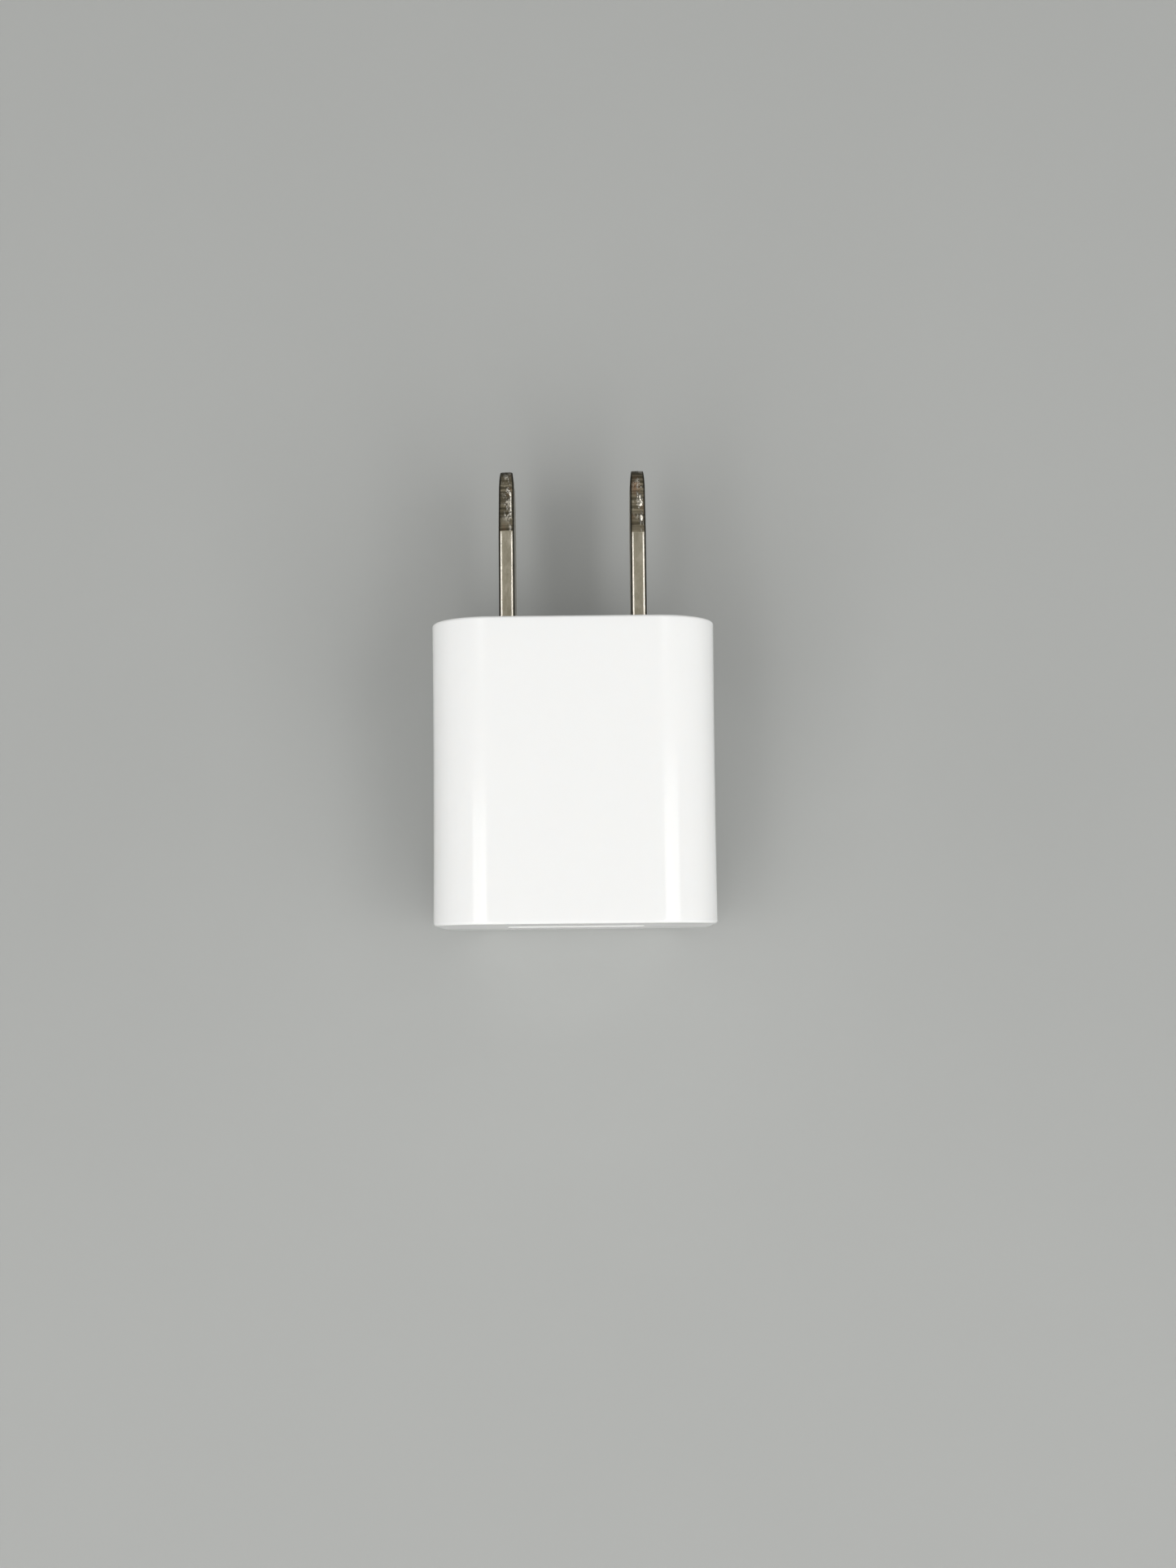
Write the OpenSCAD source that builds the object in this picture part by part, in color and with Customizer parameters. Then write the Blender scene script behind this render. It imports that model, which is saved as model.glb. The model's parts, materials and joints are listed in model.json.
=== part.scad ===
// USB wall charger: a square casing with rounded corners, two fixed flat blades and one USB-A port.
// +Y is the way the blades point, +X runs from one blade to the other and +Z is up.
// The origin lies on the resting surface, under the middle of the overall length.
// Inside each module Y is counted from the port face, which in_row_frame() moves into place.

/* [Casing] */
// Width and height of the square casing
body_size = 26.4; // [26.4:0.1:27]
// Length of the casing, from the port face to the wall face
body_length = 28.2; // [28.2:0.1:29]
// Radius of the four long corners
corner_r = 5.6; // [5:0.1:6]
// Rounding between the long walls and the two end faces
edge_r = 0.25; // [0.2:0.05:0.6]
// Thickness of the long walls
wall = 1.8; // [1.6:0.1:1.8]
// Thickness of the port face
front_wall = 1.6; // [1.4:0.1:1.6]
// Thickness of the cover plate that carries the blades
cover_t = 2.0; // [1.8:0.1:2.2]
// Thickness of the casing's rim around the cover plate
rim_t = 1.2; // [1:0.1:1.2]

/* [Blades] */
// Distance between the middles of the two blades
blade_pitch = 12.7; // [12.6:0.1:12.8]
// Length of each blade outside the wall face
blade_length = 16.0; // [15.9:0.1:18]
// Width of each blade
blade_w = 6.35; // [6.2:0.05:6.45]
// Thickness of each blade
blade_t = 1.5; // [1.4:0.05:1.55]
// Length of the tapered nose of each blade
nose_length = 6.2; // [5:0.1:7]
// Rounding of the nose's two corners
nose_r = 1.2; // [0.8:0.1:1.4]

/* [Port] */
// Width of the opening inside the port's metal shell
port_w = 12.5; // [12.4:0.05:12.6]
// Height of the opening inside the port's metal shell
port_h = 5.12; // [5.05:0.01:5.2]
// Depth of the port's metal shell
port_depth = 14; // [13.5:0.1:14]
// Upward travel of each contact's apex when a plug goes in
contact_travel = 0.4; // [0.3:0.05:0.4]
// Outward travel of each holding finger's apex when a plug goes in
finger_travel = 0.25; // [0.2:0.01:0.25]

/* [Boards] */
// Thickness of both circuit boards
board_t = 1.0; // [0.8:0.1:1]

/* [Hidden] */
$fn = 64;

eps = 0.01;                       // overshoot that keeps cuts clean
fit_gap = 0.05;                   // gap between parts that slide together
mould_gap = 0.02;                 // gap around a part that is moulded in
total_length = body_length + blade_length;
mid_z = body_size / 2;            // height of the port and of the blades
cavity_size = body_size - 2 * wall;
cavity_r = corner_r - wall;
cavity_end = body_length - cover_t;

// Port, from its middle at [0, mid_z]
sheet_t = 0.3;                    // sheet metal of the port's shell
port_start = 1.05;                // front edge of the metal shell, behind the port face
port_end = port_start + port_depth;
aperture_w = port_w + 0.3;
aperture_h = port_h + 0.28;
aperture_chamfer = 0.3;
shell_w = port_w + 2 * sheet_t;
shell_h = port_h + 2 * sheet_t;
tongue_w = 11.1;
tongue_t = 1.84;
tongue_drop = 0.7;                // gap over the tongue
tongue_front = 2.4;
tongue_rear = 12.0;
tongue_top = mid_z + port_h / 2 - tongue_drop;
tongue_bottom = tongue_top - tongue_t;
contact_x = [-3.5, -1.0, 1.0, 3.5];
contact_w = 1.0;
contact_t = 0.25;
contact_slot_w = 1.3;
contact_slot_h = 1.15;
contact_root = [11.2, tongue_bottom + 0.58];  // [Y, Z] of the contact's hinge line
contact_apex_drop = contact_travel - 0.075;   // middle of the strip below the tongue at the apex
finger_x = 3.0;
finger_w = 1.5;
finger_window_w = 2.1;
finger_root_y = 10.4;
finger_front_y = 4.2;
finger_window = [3.9, finger_root_y + sheet_t / 2 + mould_gap];

// Boards: the primary board stands behind the end cover, the secondary board lies under the port
primary_y = 23.2;
primary_size = 22.2;
primary_corner_r = 3.5;
secondary_top = mid_z - shell_h / 2 - 0.08;
secondary_bottom = secondary_top - board_t;
secondary_w = 22.2;
secondary_y = [3.2, 20.6];
lead_back = primary_y + board_t + 0.6;      // end of the leads behind the primary board
lead_foot = secondary_bottom - 0.45;        // end of the leads below the secondary board
hole_gap = 0.1;                             // gap around a lead in its board

// Through-hole parts on the primary board: [X, Z] of the axis, and the Y of the rear face
radial_end = primary_y - 0.3;
lower_cap = [-7.3, 5.35];
lower_cap_d = 6.3;
lower_cap_l = 11;
upper_cap = [6.3, mid_z + 7.15];
upper_cap_d = 8;
upper_cap_l = 12;
choke = [9.0, mid_z + 0.2];
choke_d = 4.4;
choke_l = 8.5;
choke_end = 22.2;
fuse = [-9.4, mid_z + 0.4];
fuse_d = 3.0;
fuse_l = 8;
fuse_end = 21.4;
fuse_loop_z = mid_z + 2.8;
y_cap = [-6.0, mid_z + 7.3];
y_cap_d = 7;
y_cap_t = 3.2;
y_cap_y = 18.2;
y_cap_foot = mid_z + 4.2;
y_cap_pitch = 5;
y_lead_z = mid_z + 3.7;
y_lead_y = 19.8;
snubber = [0.2, mid_z + 7.4];
snubber_box = [3, 4.5, 6];
transistor_foot = mid_z - 2.3;
transistor_box = [6.4, 2.3, 6];
transistor_lead_z = mid_z - 3.1;
lead_d = 0.5;
wire_d = 0.6;

// Transformer: an E-core pair that lies under the secondary board, its winding along Y
core_mid = [4.6, 14.1, 5.25];
core_w = 9.8;
core_l = 12.6;
core_h = 4.2;
core_back = 1.8;
core_leg = 1.6;
core_centre = 3.0;
bobbin_wall = 0.4;
bobbin_gap = 0.05;
flange_t = 0.5;
flange_h = 6.4;
winding_t = 0.5;
tape_t = 0.1;
rail_rear = [20.6, 22.4];
rail_front = [5.8, 7.6];
pin_pitch = 2.2;
rear_pins = [for (i = [-1.5:1:1.5]) [core_mid[0] + i * pin_pitch, core_mid[2]]];
front_pins = [for (x = [7.9, 9.4]) [x, 6.7]];

// Parts on the secondary board
out_cap_d = 6.3;
out_cap_l = 8;
out_cap_y = 2.6;
out_cap_z = mid_z + 7.35;
out_cap_left_x = -7.5;
out_cap_right_x = -1.125;
out_lead_pitch = 2.25;
opto_mid = [1.8, 18.5];
opto_box = [6.4, 3.8, 3.4];
opto_lead_span = 7.6;
opto_lead_x = [opto_mid[0] - opto_lead_span / 2, opto_mid[0] + opto_lead_span / 2];
opto_lead_y = [opto_mid[1] - 1.27, opto_mid[1] + 1.27];
link_x = [-10.1, -8.5, 8.5, 10.1];
link_t = 0.64;
link_y = 17.6;
leg_y = [4.2, 11.6];
leg_w = 1.2;
tail_y = port_end + 0.3;          // where the contact tails turn down

// Inner casing details
rail_t = 0.8;
rail_gap = 0.06;
rail_reach = 0.9;
rail_end = 17;
rib_reach = 0.6;
rib_w = 1.2;
rib_offset = 7;
rib_end = primary_y - 0.05;
aperture_r = 0.4;
shell_r = 0.6;
recess_size = body_size - 2 * rim_t;
cover_size = recess_size - 2 * fit_gap;
spigot_l = 0.8;
spigot_t = 0.8;
spigot_size = cavity_size - 2 * fit_gap;
boss_l = 1.0;
boss_w = 3.6;
boss_h = 8.6;
boss_r = 1.0;
pad_offset = 9.3;
pad_size = 1.2;
pad_y = primary_y + board_t + fit_gap;

// Blade details
blade_edge = 0.2;
tip_edge = 0.3;
nose_tip_w = 4.2;
blade_back = cavity_end - 0.6;
tail_t = 1.1;
tail_w = 2.4;
tail_front = primary_y - 0.7;

// Port details
slot_inset = 0.4;
tongue_bevel = 0.35;
root_gap = 0.03;
tail_pin_w = 0.5;
contact_path = [[contact_root[0], 0.58], [10.2, 0.58], [4.9, -contact_apex_drop],
    [4.3, -contact_apex_drop], [3.1, 0.25]];
finger_apex = finger_travel + 0.3;
finger_path = [[finger_root_y, 0], [9.4, 0], [5.9, -finger_apex], [5.3, -finger_apex],
    [finger_front_y, -0.3]];

// Transformer details
window_l = core_l - 2 * core_back;
window_w = (core_w - 2 * core_leg - core_centre) / 2;
core_gap = 0.1;
tube_w = core_centre + 2 * (bobbin_gap + bobbin_wall);
tube_h = core_h + 2 * (bobbin_gap + bobbin_wall);
flange_w = core_centre + 2 * window_w - 2 * bobbin_gap;
ledge_t = flange_h / 2 - core_h / 2 - bobbin_gap;
ledge_spans = [[rail_front[1] - 0.5, core_mid[1] - window_l / 2 + flange_t],
    [core_mid[1] + window_l / 2 - flange_t, rail_rear[0] + 0.5]];
rail_w = 8.6;
front_rail_w = 9.8;
rail_bottom = 3.0;
core_tape_h = 3;
pin_start = 21.2;
pin_stand = 0.5;

// Details of the parts with leads
can_edge = 0.25;
disc_edge = 0.8;
lead_gap = 0.02;
lower_cap_pitch = 2.5;
upper_cap_pitch = 3.5;
choke_pitch = 2.5;
snubber_pitch = 3;
fuse_loop = 1;
transistor_pitch = 2.3;
right_lead_y = 16.05;
left_lead_y = [12.2, 14.0];
fuse_waist_d = 2.5;
fuse_cap_l = 1.8;
transistor_y = radial_end - 0.1 - transistor_box[1];

// Surface-mounted parts: [X, Z] on the primary board, [X, Y] on the secondary board
bridge = [-6.0, mid_z + 7.3];
bridge_box = [4.8, 2.3, 4.0];
ic = [-2.4, 6.0];
ic_box = [4.7, 3.8, 1.2];
rectifier = [8.7, 10.4];
rectifier_box = [2.6, 4.2, 2.0];
regulator = [-8.6, 6.0];
regulator_box = [2.9, 1.6, 1.0];
chip_box = [2.0, 1.25, 0.55];
chip_lift = 0.05;
chip_edge = 0.15;
foot_l = 0.9;
foot_w = 0.4;
foot_h = 0.25;
primary_chip_at = [for (x = [-3, 0, 3], z = [mid_z, mid_z + 2.6]) [x, z]];
secondary_chip_at = [[8.7, 4.2], [-9.2, 9.0], [-9.2, 10.8], [-9.2, 12.6]];
film_t = 0.12;
upper_film = [-6.7, 10.75, 17.0, 4.95];
lower_film = [-10.2, 8.0, 20.4, 12.4];
fillet_w = 0.3;
fillet_h = 0.4;

// Leads through each board, as [X, Z, diameter] or [X, Y, diameter]
primary_pins = concat(
    [for (s = [-1, 1]) [lower_cap[0] + s * lower_cap_pitch / 2, lower_cap[1], lead_d]],
    [for (s = [-1, 1]) [upper_cap[0] + s * upper_cap_pitch / 2, upper_cap[1], wire_d]],
    [for (s = [-1, 1]) [choke[0], choke[1] + s * choke_pitch / 2, lead_d]],
    [[fuse[0], fuse[1], wire_d], [fuse[0], fuse_loop_z, wire_d]],
    [[y_cap[0] - y_cap_pitch / 2, y_lead_z, lead_d]],
    [for (s = [-1, 1]) [snubber[0], snubber[1] + s * snubber_pitch / 2, lead_d]],
    [for (s = [-1, 0, 1]) [s * transistor_pitch, transistor_lead_z, lead_d]],
    [for (x = link_x) [x, secondary_top + link_t / 2, link_t * sqrt(2)]],
    [for (p = rear_pins) [p[0], p[1], wire_d]]);
secondary_pins = concat(
    [for (x = contact_x) [x, tail_y, wire_d]],
    [for (s = [-1, 1]) [out_cap_right_x + s * out_lead_pitch / 2, right_lead_y, lead_d]],
    [for (y = left_lead_y) [out_cap_left_x, y, lead_d]],
    [for (x = opto_lead_x, y = opto_lead_y) [x, y, lead_d]],
    [[y_cap[0] + y_cap_pitch / 2, y_lead_y, lead_d]],
    [for (p = front_pins) [p[0], p[1], wire_d]]);

// ---------- helpers ----------

// Moves a node from port-face coordinates into the row's frame
module in_row_frame()
    translate([0, -total_length / 2, 0]) children();

// Extrudes an outline drawn in [X, Z] along +Y
module along_y(length)
    translate([0, length, 0]) rotate([90, 0, 0]) linear_extrude(length) children();

// Extrudes an outline drawn in [Y, Z] along +X, from its middle
module along_x(width)
    rotate([90, 0, 90]) linear_extrude(width, center = true) children();

// A cylinder along +Y
module rod(d, length)
    rotate([-90, 0, 0]) cylinder(d = d, h = length);

// Centred rectangle with round corners
module round_rect(w, h, r) {
    square([w - 2 * r, h], center = true);
    square([w, h - 2 * r], center = true);
    for (x = [-1, 1], z = [-1, 1])
        translate([x * (w / 2 - r), z * (h / 2 - r)]) circle(r);
}

// Column along +Y with rounded ends, one for each long corner
module corner_column(r, end_r, length)
    rotate([-90, 0, 0]) rotate_extrude() {
        square([r - end_r, length]);
        translate([0, end_r]) square([r, length - 2 * end_r]);
        for (y = [end_r, length - end_r]) translate([r - end_r, y]) circle(end_r);
    }

// Opening that narrows from the face at y = 0 to w by h at y = depth
module flared_opening(w, h, depth) {
    grow = depth + eps;
    intersection() {
        along_x(2 * w)
            polygon([[-eps, h / 2 + grow], [depth, h / 2], [depth, -h / 2], [-eps, -h / 2 - grow]]);
        linear_extrude(4 * h, center = true)
            polygon([[w / 2 + grow, -eps], [w / 2, depth], [-w / 2, depth], [-w / 2 - grow, -eps]]);
    }
}

// Rectangle with chamfered corners, about its middle
function chamfered(w, h, c) = [[w / 2, h / 2 - c], [w / 2 - c, h / 2], [c - w / 2, h / 2],
    [-w / 2, h / 2 - c], [-w / 2, c - h / 2], [c - w / 2, -h / 2],
    [w / 2 - c, -h / 2], [w / 2, c - h / 2]];

// Outline of a strip of thickness t that follows the points p, with mitred bends
function unit(v) = v / norm(v);
function across(v) = [-v[1], v[0]];
function bend(p, i) = let (
    a = across(unit(p[max(i, 1)] - p[max(i, 1) - 1])),
    b = across(unit(p[min(i + 1, len(p) - 1)] - p[min(i + 1, len(p) - 1) - 1])),
    m = unit(a + b)) m / (m * a);
function strip(p, t) = concat(
    [for (i = [0:len(p) - 1]) p[i] + bend(p, i) * t / 2],
    [for (i = [len(p) - 1:-1:0]) p[i] - bend(p, i) * t / 2]);

// Round wire through the points p, with a ball at each bend
module wire(p, d) {
    for (i = [0:len(p) - 2]) {
        run = p[i + 1] - p[i];
        translate(p[i])
            rotate([0, acos(run[2] / norm(run)), atan2(run[1], run[0])]) cylinder(d = d, h = norm(run));
    }
    for (i = [1:1:len(p) - 2]) translate(p[i]) sphere(d = d * 1.04);
}

// ---------- casing ----------

module casing_block() {
    inset = body_size / 2 - corner_r;
    for (x = [-inset, inset], z = [-inset, inset])
        translate([x, 0, mid_z + z]) corner_column(corner_r, edge_r, body_length);
    translate([0, body_length / 2, mid_z]) {
        along_x(2 * inset) round_rect(body_length, body_size, edge_r);
        linear_extrude(2 * inset, center = true) round_rect(body_size, body_length, edge_r);
    }
}

// Rails that hold the secondary board's two edges, and the ribs the primary board stops against
module inner_ribs() {
    for (x = [-1, 1]) {
        for (z = [secondary_top + rail_gap, secondary_bottom - rail_gap - rail_t])
            translate([x * (cavity_size - rail_reach) / 2, (front_wall + rail_end) / 2, z + rail_t / 2])
                cube([rail_reach + eps, rail_end - front_wall + eps, rail_t], center = true);
        for (z = [-1, 1])
            translate([x * (cavity_size - rib_reach) / 2, (front_wall + rib_end) / 2, mid_z + z * rib_offset])
                cube([rib_reach + eps, rib_end - front_wall + eps, rib_w], center = true);
    }
}

module main_shell() in_row_frame() color("white") difference() {
    casing_block();
    difference() {
        translate([0, front_wall, mid_z])
            along_y(cavity_end - front_wall + eps) round_rect(cavity_size, cavity_size, cavity_r);
        inner_ribs();
    }
    translate([0, cavity_end, mid_z])
        along_y(cover_t + 1) round_rect(recess_size, recess_size, corner_r - rim_t);
    translate([0, -1, mid_z]) along_y(front_wall + 2) round_rect(aperture_w, aperture_h, aperture_r);
    translate([0, 0, mid_z]) flared_opening(aperture_w, aperture_h, aperture_chamfer);
    translate([0, port_start - fit_gap, mid_z])
        along_y(front_wall) round_rect(shell_w + 2 * fit_gap, shell_h + 2 * fit_gap, shell_r + fit_gap);
}

module end_cover() in_row_frame() color("white") difference() {
    union() {
        translate([0, cavity_end + fit_gap, mid_z])
            along_y(cover_t - fit_gap) round_rect(cover_size, cover_size, corner_r - rim_t - fit_gap);
        translate([0, cavity_end - spigot_l, mid_z]) along_y(spigot_l + 2 * fit_gap) difference() {
            round_rect(spigot_size, spigot_size, cavity_r - fit_gap);
            round_rect(spigot_size - 2 * spigot_t, spigot_size - 2 * spigot_t, cavity_r - spigot_t);
        }
        for (x = [-1, 1]) {
            translate([x * blade_pitch / 2, cavity_end - boss_l, mid_z])
                along_y(boss_l + 2 * fit_gap) round_rect(boss_w, boss_h, boss_r);
            for (z = [-1, 1])
                translate([x * pad_offset, pad_y, mid_z + z * pad_offset])
                    along_y(cavity_end - pad_y + 2 * fit_gap) square(pad_size, center = true);
        }
    }
    for (x = [-1, 1])
        translate([x * blade_pitch / 2, blade_back - 1, mid_z])
            along_y(body_length - blade_back + 2)
                polygon(chamfered(blade_t + 2 * mould_gap, blade_w + 2 * mould_gap, blade_edge));
}

// ---------- blades ----------

// Outline seen from the side, in [Y, Z]: straight, then a tapered nose with two round corners
module blade_side() {
    tip = body_length + blade_length;
    start = tip - nose_length;
    slope = (blade_w / 2 - nose_tip_w / 2) / nose_length;
    stretch = sqrt(1 + slope * slope);
    centre_y = tip - nose_r;
    centre_z = blade_w / 2 - slope * (centre_y - start) - nose_r * stretch;
    upper = [[blade_back, blade_w / 2], [start, blade_w / 2],
        [centre_y + nose_r * slope / stretch, centre_z + nose_r / stretch], [tip, centre_z]];
    polygon(concat(upper, [for (i = [3:-1:0]) [upper[i][0], -upper[i][1]]]));
    for (z = [-centre_z, centre_z]) translate([centre_y, z]) circle(nose_r);
}

module blade(x) in_row_frame() color("silver") translate([x, 0, mid_z]) {
    tip = body_length + blade_length;
    intersection() {
        along_x(blade_t + 1) blade_side();
        translate([0, blade_back, 0])
            along_y(tip - blade_back) polygon(chamfered(blade_t, blade_w, blade_edge));
        linear_extrude(blade_w + 1, center = true)
            translate([0, (tip + blade_back) / 2])
                polygon(chamfered(blade_t, tip - blade_back, tip_edge));
    }
    translate([-tail_t / 2, tail_front, -tail_w / 2])
        cube([tail_t, blade_back - tail_front + 1, tail_w]);
}

module blade_left() blade(-blade_pitch / 2);
module blade_right() blade(blade_pitch / 2);

// ---------- boards ----------

module primary_board() in_row_frame() color("darkgreen")
    translate([0, primary_y, 0]) along_y(board_t) difference() {
        translate([0, mid_z]) round_rect(primary_size, primary_size, primary_corner_r);
        for (p = primary_pins) translate([p[0], p[1]]) circle(d = p[2] + 2 * hole_gap);
        for (x = [-1, 1])
            translate([x * blade_pitch / 2, mid_z])
                square([tail_t + 2 * hole_gap, tail_w + 2 * hole_gap], center = true);
    }

module secondary_board() in_row_frame() color("darkgreen")
    translate([0, 0, secondary_bottom]) linear_extrude(board_t) difference() {
        translate([0, (secondary_y[0] + secondary_y[1]) / 2])
            square([secondary_w, secondary_y[1] - secondary_y[0]], center = true);
        for (p = secondary_pins) translate([p[0], p[1]]) circle(d = p[2] + 2 * hole_gap);
        for (x = [-1, 1], y = leg_y)
            translate([x * (shell_w - sheet_t) / 2, y])
                square([sheet_t + 2 * hole_gap, leg_w + 2 * hole_gap], center = true);
    }

module board_link_pins() in_row_frame() color("gold")
    for (x = link_x)
        translate([x - link_t / 2, link_y, secondary_top + mould_gap])
            cube([link_t, lead_back - link_y, link_t]);

// ---------- port ----------

module usb_shell() in_row_frame() color("silver") {
    difference() {
        translate([0, port_start, mid_z]) along_y(port_depth) difference() {
            round_rect(shell_w, shell_h, shell_r);
            round_rect(port_w, port_h, shell_r - sheet_t);
        }
        for (x = [-finger_x, finger_x])
            translate([x - finger_window_w / 2, finger_window[0], mid_z - shell_h])
                cube([finger_window_w, finger_window[1] - finger_window[0], 2 * shell_h]);
    }
    for (x = [-1, 1], y = leg_y)
        translate([x * (shell_w - sheet_t) / 2, y, (mid_z + lead_foot) / 2])
            cube([sheet_t, leg_w, mid_z - lead_foot], center = true);
}

// Strip spring in [Y, Z] with a round end on its hinge line
module spring_strip(points, t, w) along_x(w) {
    polygon(strip(points, t));
    translate(points[0]) circle(d = 1.04 * t, $fn = 32);
}

module shell_finger(x, side) in_row_frame() color("silver")
    translate([x, 0, mid_z]) mirror([0, 0, side < 0 ? 1 : 0])
        spring_strip([for (p = finger_path) [p[0], p[1] + (shell_h - sheet_t) / 2]], sheet_t, finger_w);

module shell_finger_top_left() shell_finger(-finger_x, 1);
module shell_finger_top_right() shell_finger(finger_x, 1);
module shell_finger_bottom_left() shell_finger(-finger_x, -1);
module shell_finger_bottom_right() shell_finger(finger_x, -1);

module usb_insulator() in_row_frame() color("white") difference() {
    union() {
        translate([-tongue_w / 2, tongue_front, tongue_bottom])
            cube([tongue_w, tongue_rear - tongue_front + 1, tongue_t]);
        translate([0, tongue_rear, mid_z])
            along_y(port_end - tongue_rear)
                round_rect(port_w - 2 * fit_gap, port_h - 2 * fit_gap, shell_r - sheet_t);
    }
    for (x = contact_x) {
        translate([x - contact_slot_w / 2, tongue_front + slot_inset, tongue_bottom - 1])
            cube([contact_slot_w, tongue_rear - tongue_front - slot_inset, contact_slot_h + 1]);
        translate([x - contact_w / 2 - mould_gap, tongue_rear - eps, contact_root[1] - contact_t / 2 - mould_gap])
            cube([contact_w + 2 * mould_gap, port_end - tongue_rear + 1, contact_t + 2 * mould_gap]);
    }
    translate([0, tongue_front, tongue_bottom]) rotate([45, 0, 0])
        cube([tongue_w + 1, tongue_bevel, tongue_bevel], center = true);
    translate([0, tongue_front, tongue_top]) rotate([45, 0, 0])
        cube([tongue_w + 1, tongue_bevel, tongue_bevel], center = true);
}

module contact_spring(i) in_row_frame() color("gold")
    translate([contact_x[i], 0, tongue_bottom]) spring_strip(contact_path, contact_t, contact_w);

module contact_spring_1() contact_spring(0);
module contact_spring_2() contact_spring(1);
module contact_spring_3() contact_spring(2);
module contact_spring_4() contact_spring(3);

module usb_contact_tails() in_row_frame() color("gold")
    for (x = contact_x) {
        front = contact_root[0] + contact_t / 2 + root_gap;
        translate([x - contact_w / 2, front, contact_root[1] - contact_t / 2])
            cube([contact_w, tail_y + contact_t / 2 - front, contact_t]);
        translate([x - tail_pin_w / 2, tail_y - contact_t / 2, lead_foot])
            cube([tail_pin_w, contact_t, contact_root[1] - lead_foot]);
    }

// ---------- transformer ----------

module transformer_bobbin() in_row_frame() color("dimgray") difference() {
    union() {
        translate(core_mid) {
            translate([0, -window_l / 2 + bobbin_gap, 0])
                along_y(window_l - 2 * bobbin_gap) square([tube_w, tube_h], center = true);
            for (y = [-window_l / 2 + bobbin_gap, window_l / 2 - bobbin_gap - flange_t])
                translate([0, y, 0]) along_y(flange_t) square([flange_w, flange_h], center = true);
        }
        for (z = [-1, 1], span = ledge_spans)
            translate([core_mid[0], span[0], core_mid[2] + z * (flange_h - ledge_t) / 2])
                along_y(span[1] - span[0]) square([flange_w, ledge_t], center = true);
        translate([core_mid[0] - rail_w / 2, rail_rear[0], rail_bottom])
            cube([rail_w, rail_rear[1] - rail_rear[0], core_mid[2] + flange_h / 2 - rail_bottom]);
        translate([core_mid[0] - rail_w / 2, rail_front[0], rail_bottom])
            cube([front_rail_w, rail_front[1] - rail_front[0], core_mid[2] + flange_h / 2 - rail_bottom]);
    }
    translate(core_mid)
        cube([core_centre + 2 * bobbin_gap, core_l + 2 * bobbin_gap, core_h + 2 * bobbin_gap], center = true);
    for (p = rear_pins)
        translate([p[0], pin_start, p[1]]) rod(wire_d + 2 * mould_gap, 5);
    for (p = front_pins)
        translate([p[0], p[1], core_mid[2]]) cylinder(d = wire_d + 2 * mould_gap, h = flange_h);
}

// Front half of the E core, about its own middle
module core_half() translate([0, 0, -core_h / 2]) linear_extrude(core_h) difference() {
    translate([-core_w / 2, -core_l / 2]) square([core_w, core_l / 2 - mould_gap]);
    for (x = [-1, 1])
        translate([x * (core_centre + window_w) / 2, 0])
            square([window_w, window_l], center = true);
    translate([-core_centre / 2 - eps, -core_gap / 2]) square([core_centre + 2 * eps, core_gap]);
}

module transformer_core_front() in_row_frame() color("darkslategray") translate(core_mid) core_half();
module transformer_core_rear() in_row_frame() color("darkslategray")
    translate(core_mid) mirror([0, 1, 0]) core_half();

// Layer wrapped around the bobbin's tube, from `inner` to `outer` outside its surface
module wrapped_layer(inner, outer) translate(core_mid) {
    length = window_l - 2 * (flange_t + 2 * bobbin_gap);
    translate([0, -length / 2, 0]) along_y(length) difference() {
        round_rect(tube_w + 2 * outer, tube_h + 2 * outer, outer);
        square([tube_w + 2 * inner, tube_h + 2 * inner], center = true);
    }
}

module transformer_winding() in_row_frame() color("peru") wrapped_layer(mould_gap, winding_t);

module winding_tape() in_row_frame() color("khaki") translate(core_mid) {
    length = window_l - 2 * (flange_t + 2 * bobbin_gap);
    inner = winding_t + mould_gap;
    translate([0, -length / 2, 0]) along_y(length) difference() {
        round_rect(tube_w + 2 * (inner + tape_t), tube_h + 2 * (inner + tape_t), inner + tape_t);
        round_rect(tube_w + 2 * inner, tube_h + 2 * inner, inner);
    }
}

module core_tape() in_row_frame() color("khaki")
    translate(core_mid) linear_extrude(core_tape_h, center = true) difference() {
        square([core_w + 2 * (mould_gap + tape_t), core_l + 2 * (mould_gap + tape_t)], center = true);
        square([core_w + 2 * mould_gap, core_l + 2 * mould_gap], center = true);
    }

module transformer_pins() in_row_frame() color("silver") {
    for (p = rear_pins)
        translate([p[0], pin_start + mould_gap, p[1]]) rod(wire_d, lead_back - pin_start - mould_gap);
    for (p = front_pins)
        translate([p[0], p[1], core_mid[2] + mould_gap])
            cylinder(d = wire_d, h = secondary_top + pin_stand - core_mid[2] - mould_gap);
}

// ---------- parts with leads ----------

// Electrolytic can along +Y: rounded top at y = 0, crimped base at y = length
module can(d, length) rotate([-90, 0, 0]) rotate_extrude()
    polygon([[0, 0], [d / 2 - can_edge, 0], [d / 2, can_edge], [d / 2, length - 4 * can_edge],
        [d / 2 - can_edge, length - 3.2 * can_edge], [d / 2 - can_edge, length - 2.6 * can_edge],
        [d / 2, length - 1.8 * can_edge], [d / 2, length - can_edge / 2],
        [d / 2 - can_edge / 2, length], [0, length]]);

module bulk_capacitor_lower() in_row_frame() color("dimgray")
    translate([lower_cap[0], radial_end - lower_cap_l, lower_cap[1]]) can(lower_cap_d, lower_cap_l);

module bulk_capacitor_upper() in_row_frame() color("dimgray")
    translate([upper_cap[0], radial_end - upper_cap_l, upper_cap[1]]) can(upper_cap_d, upper_cap_l);

module output_capacitor_left() in_row_frame() color("silver")
    translate([out_cap_left_x, out_cap_y, out_cap_z]) can(out_cap_d, out_cap_l);

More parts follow.
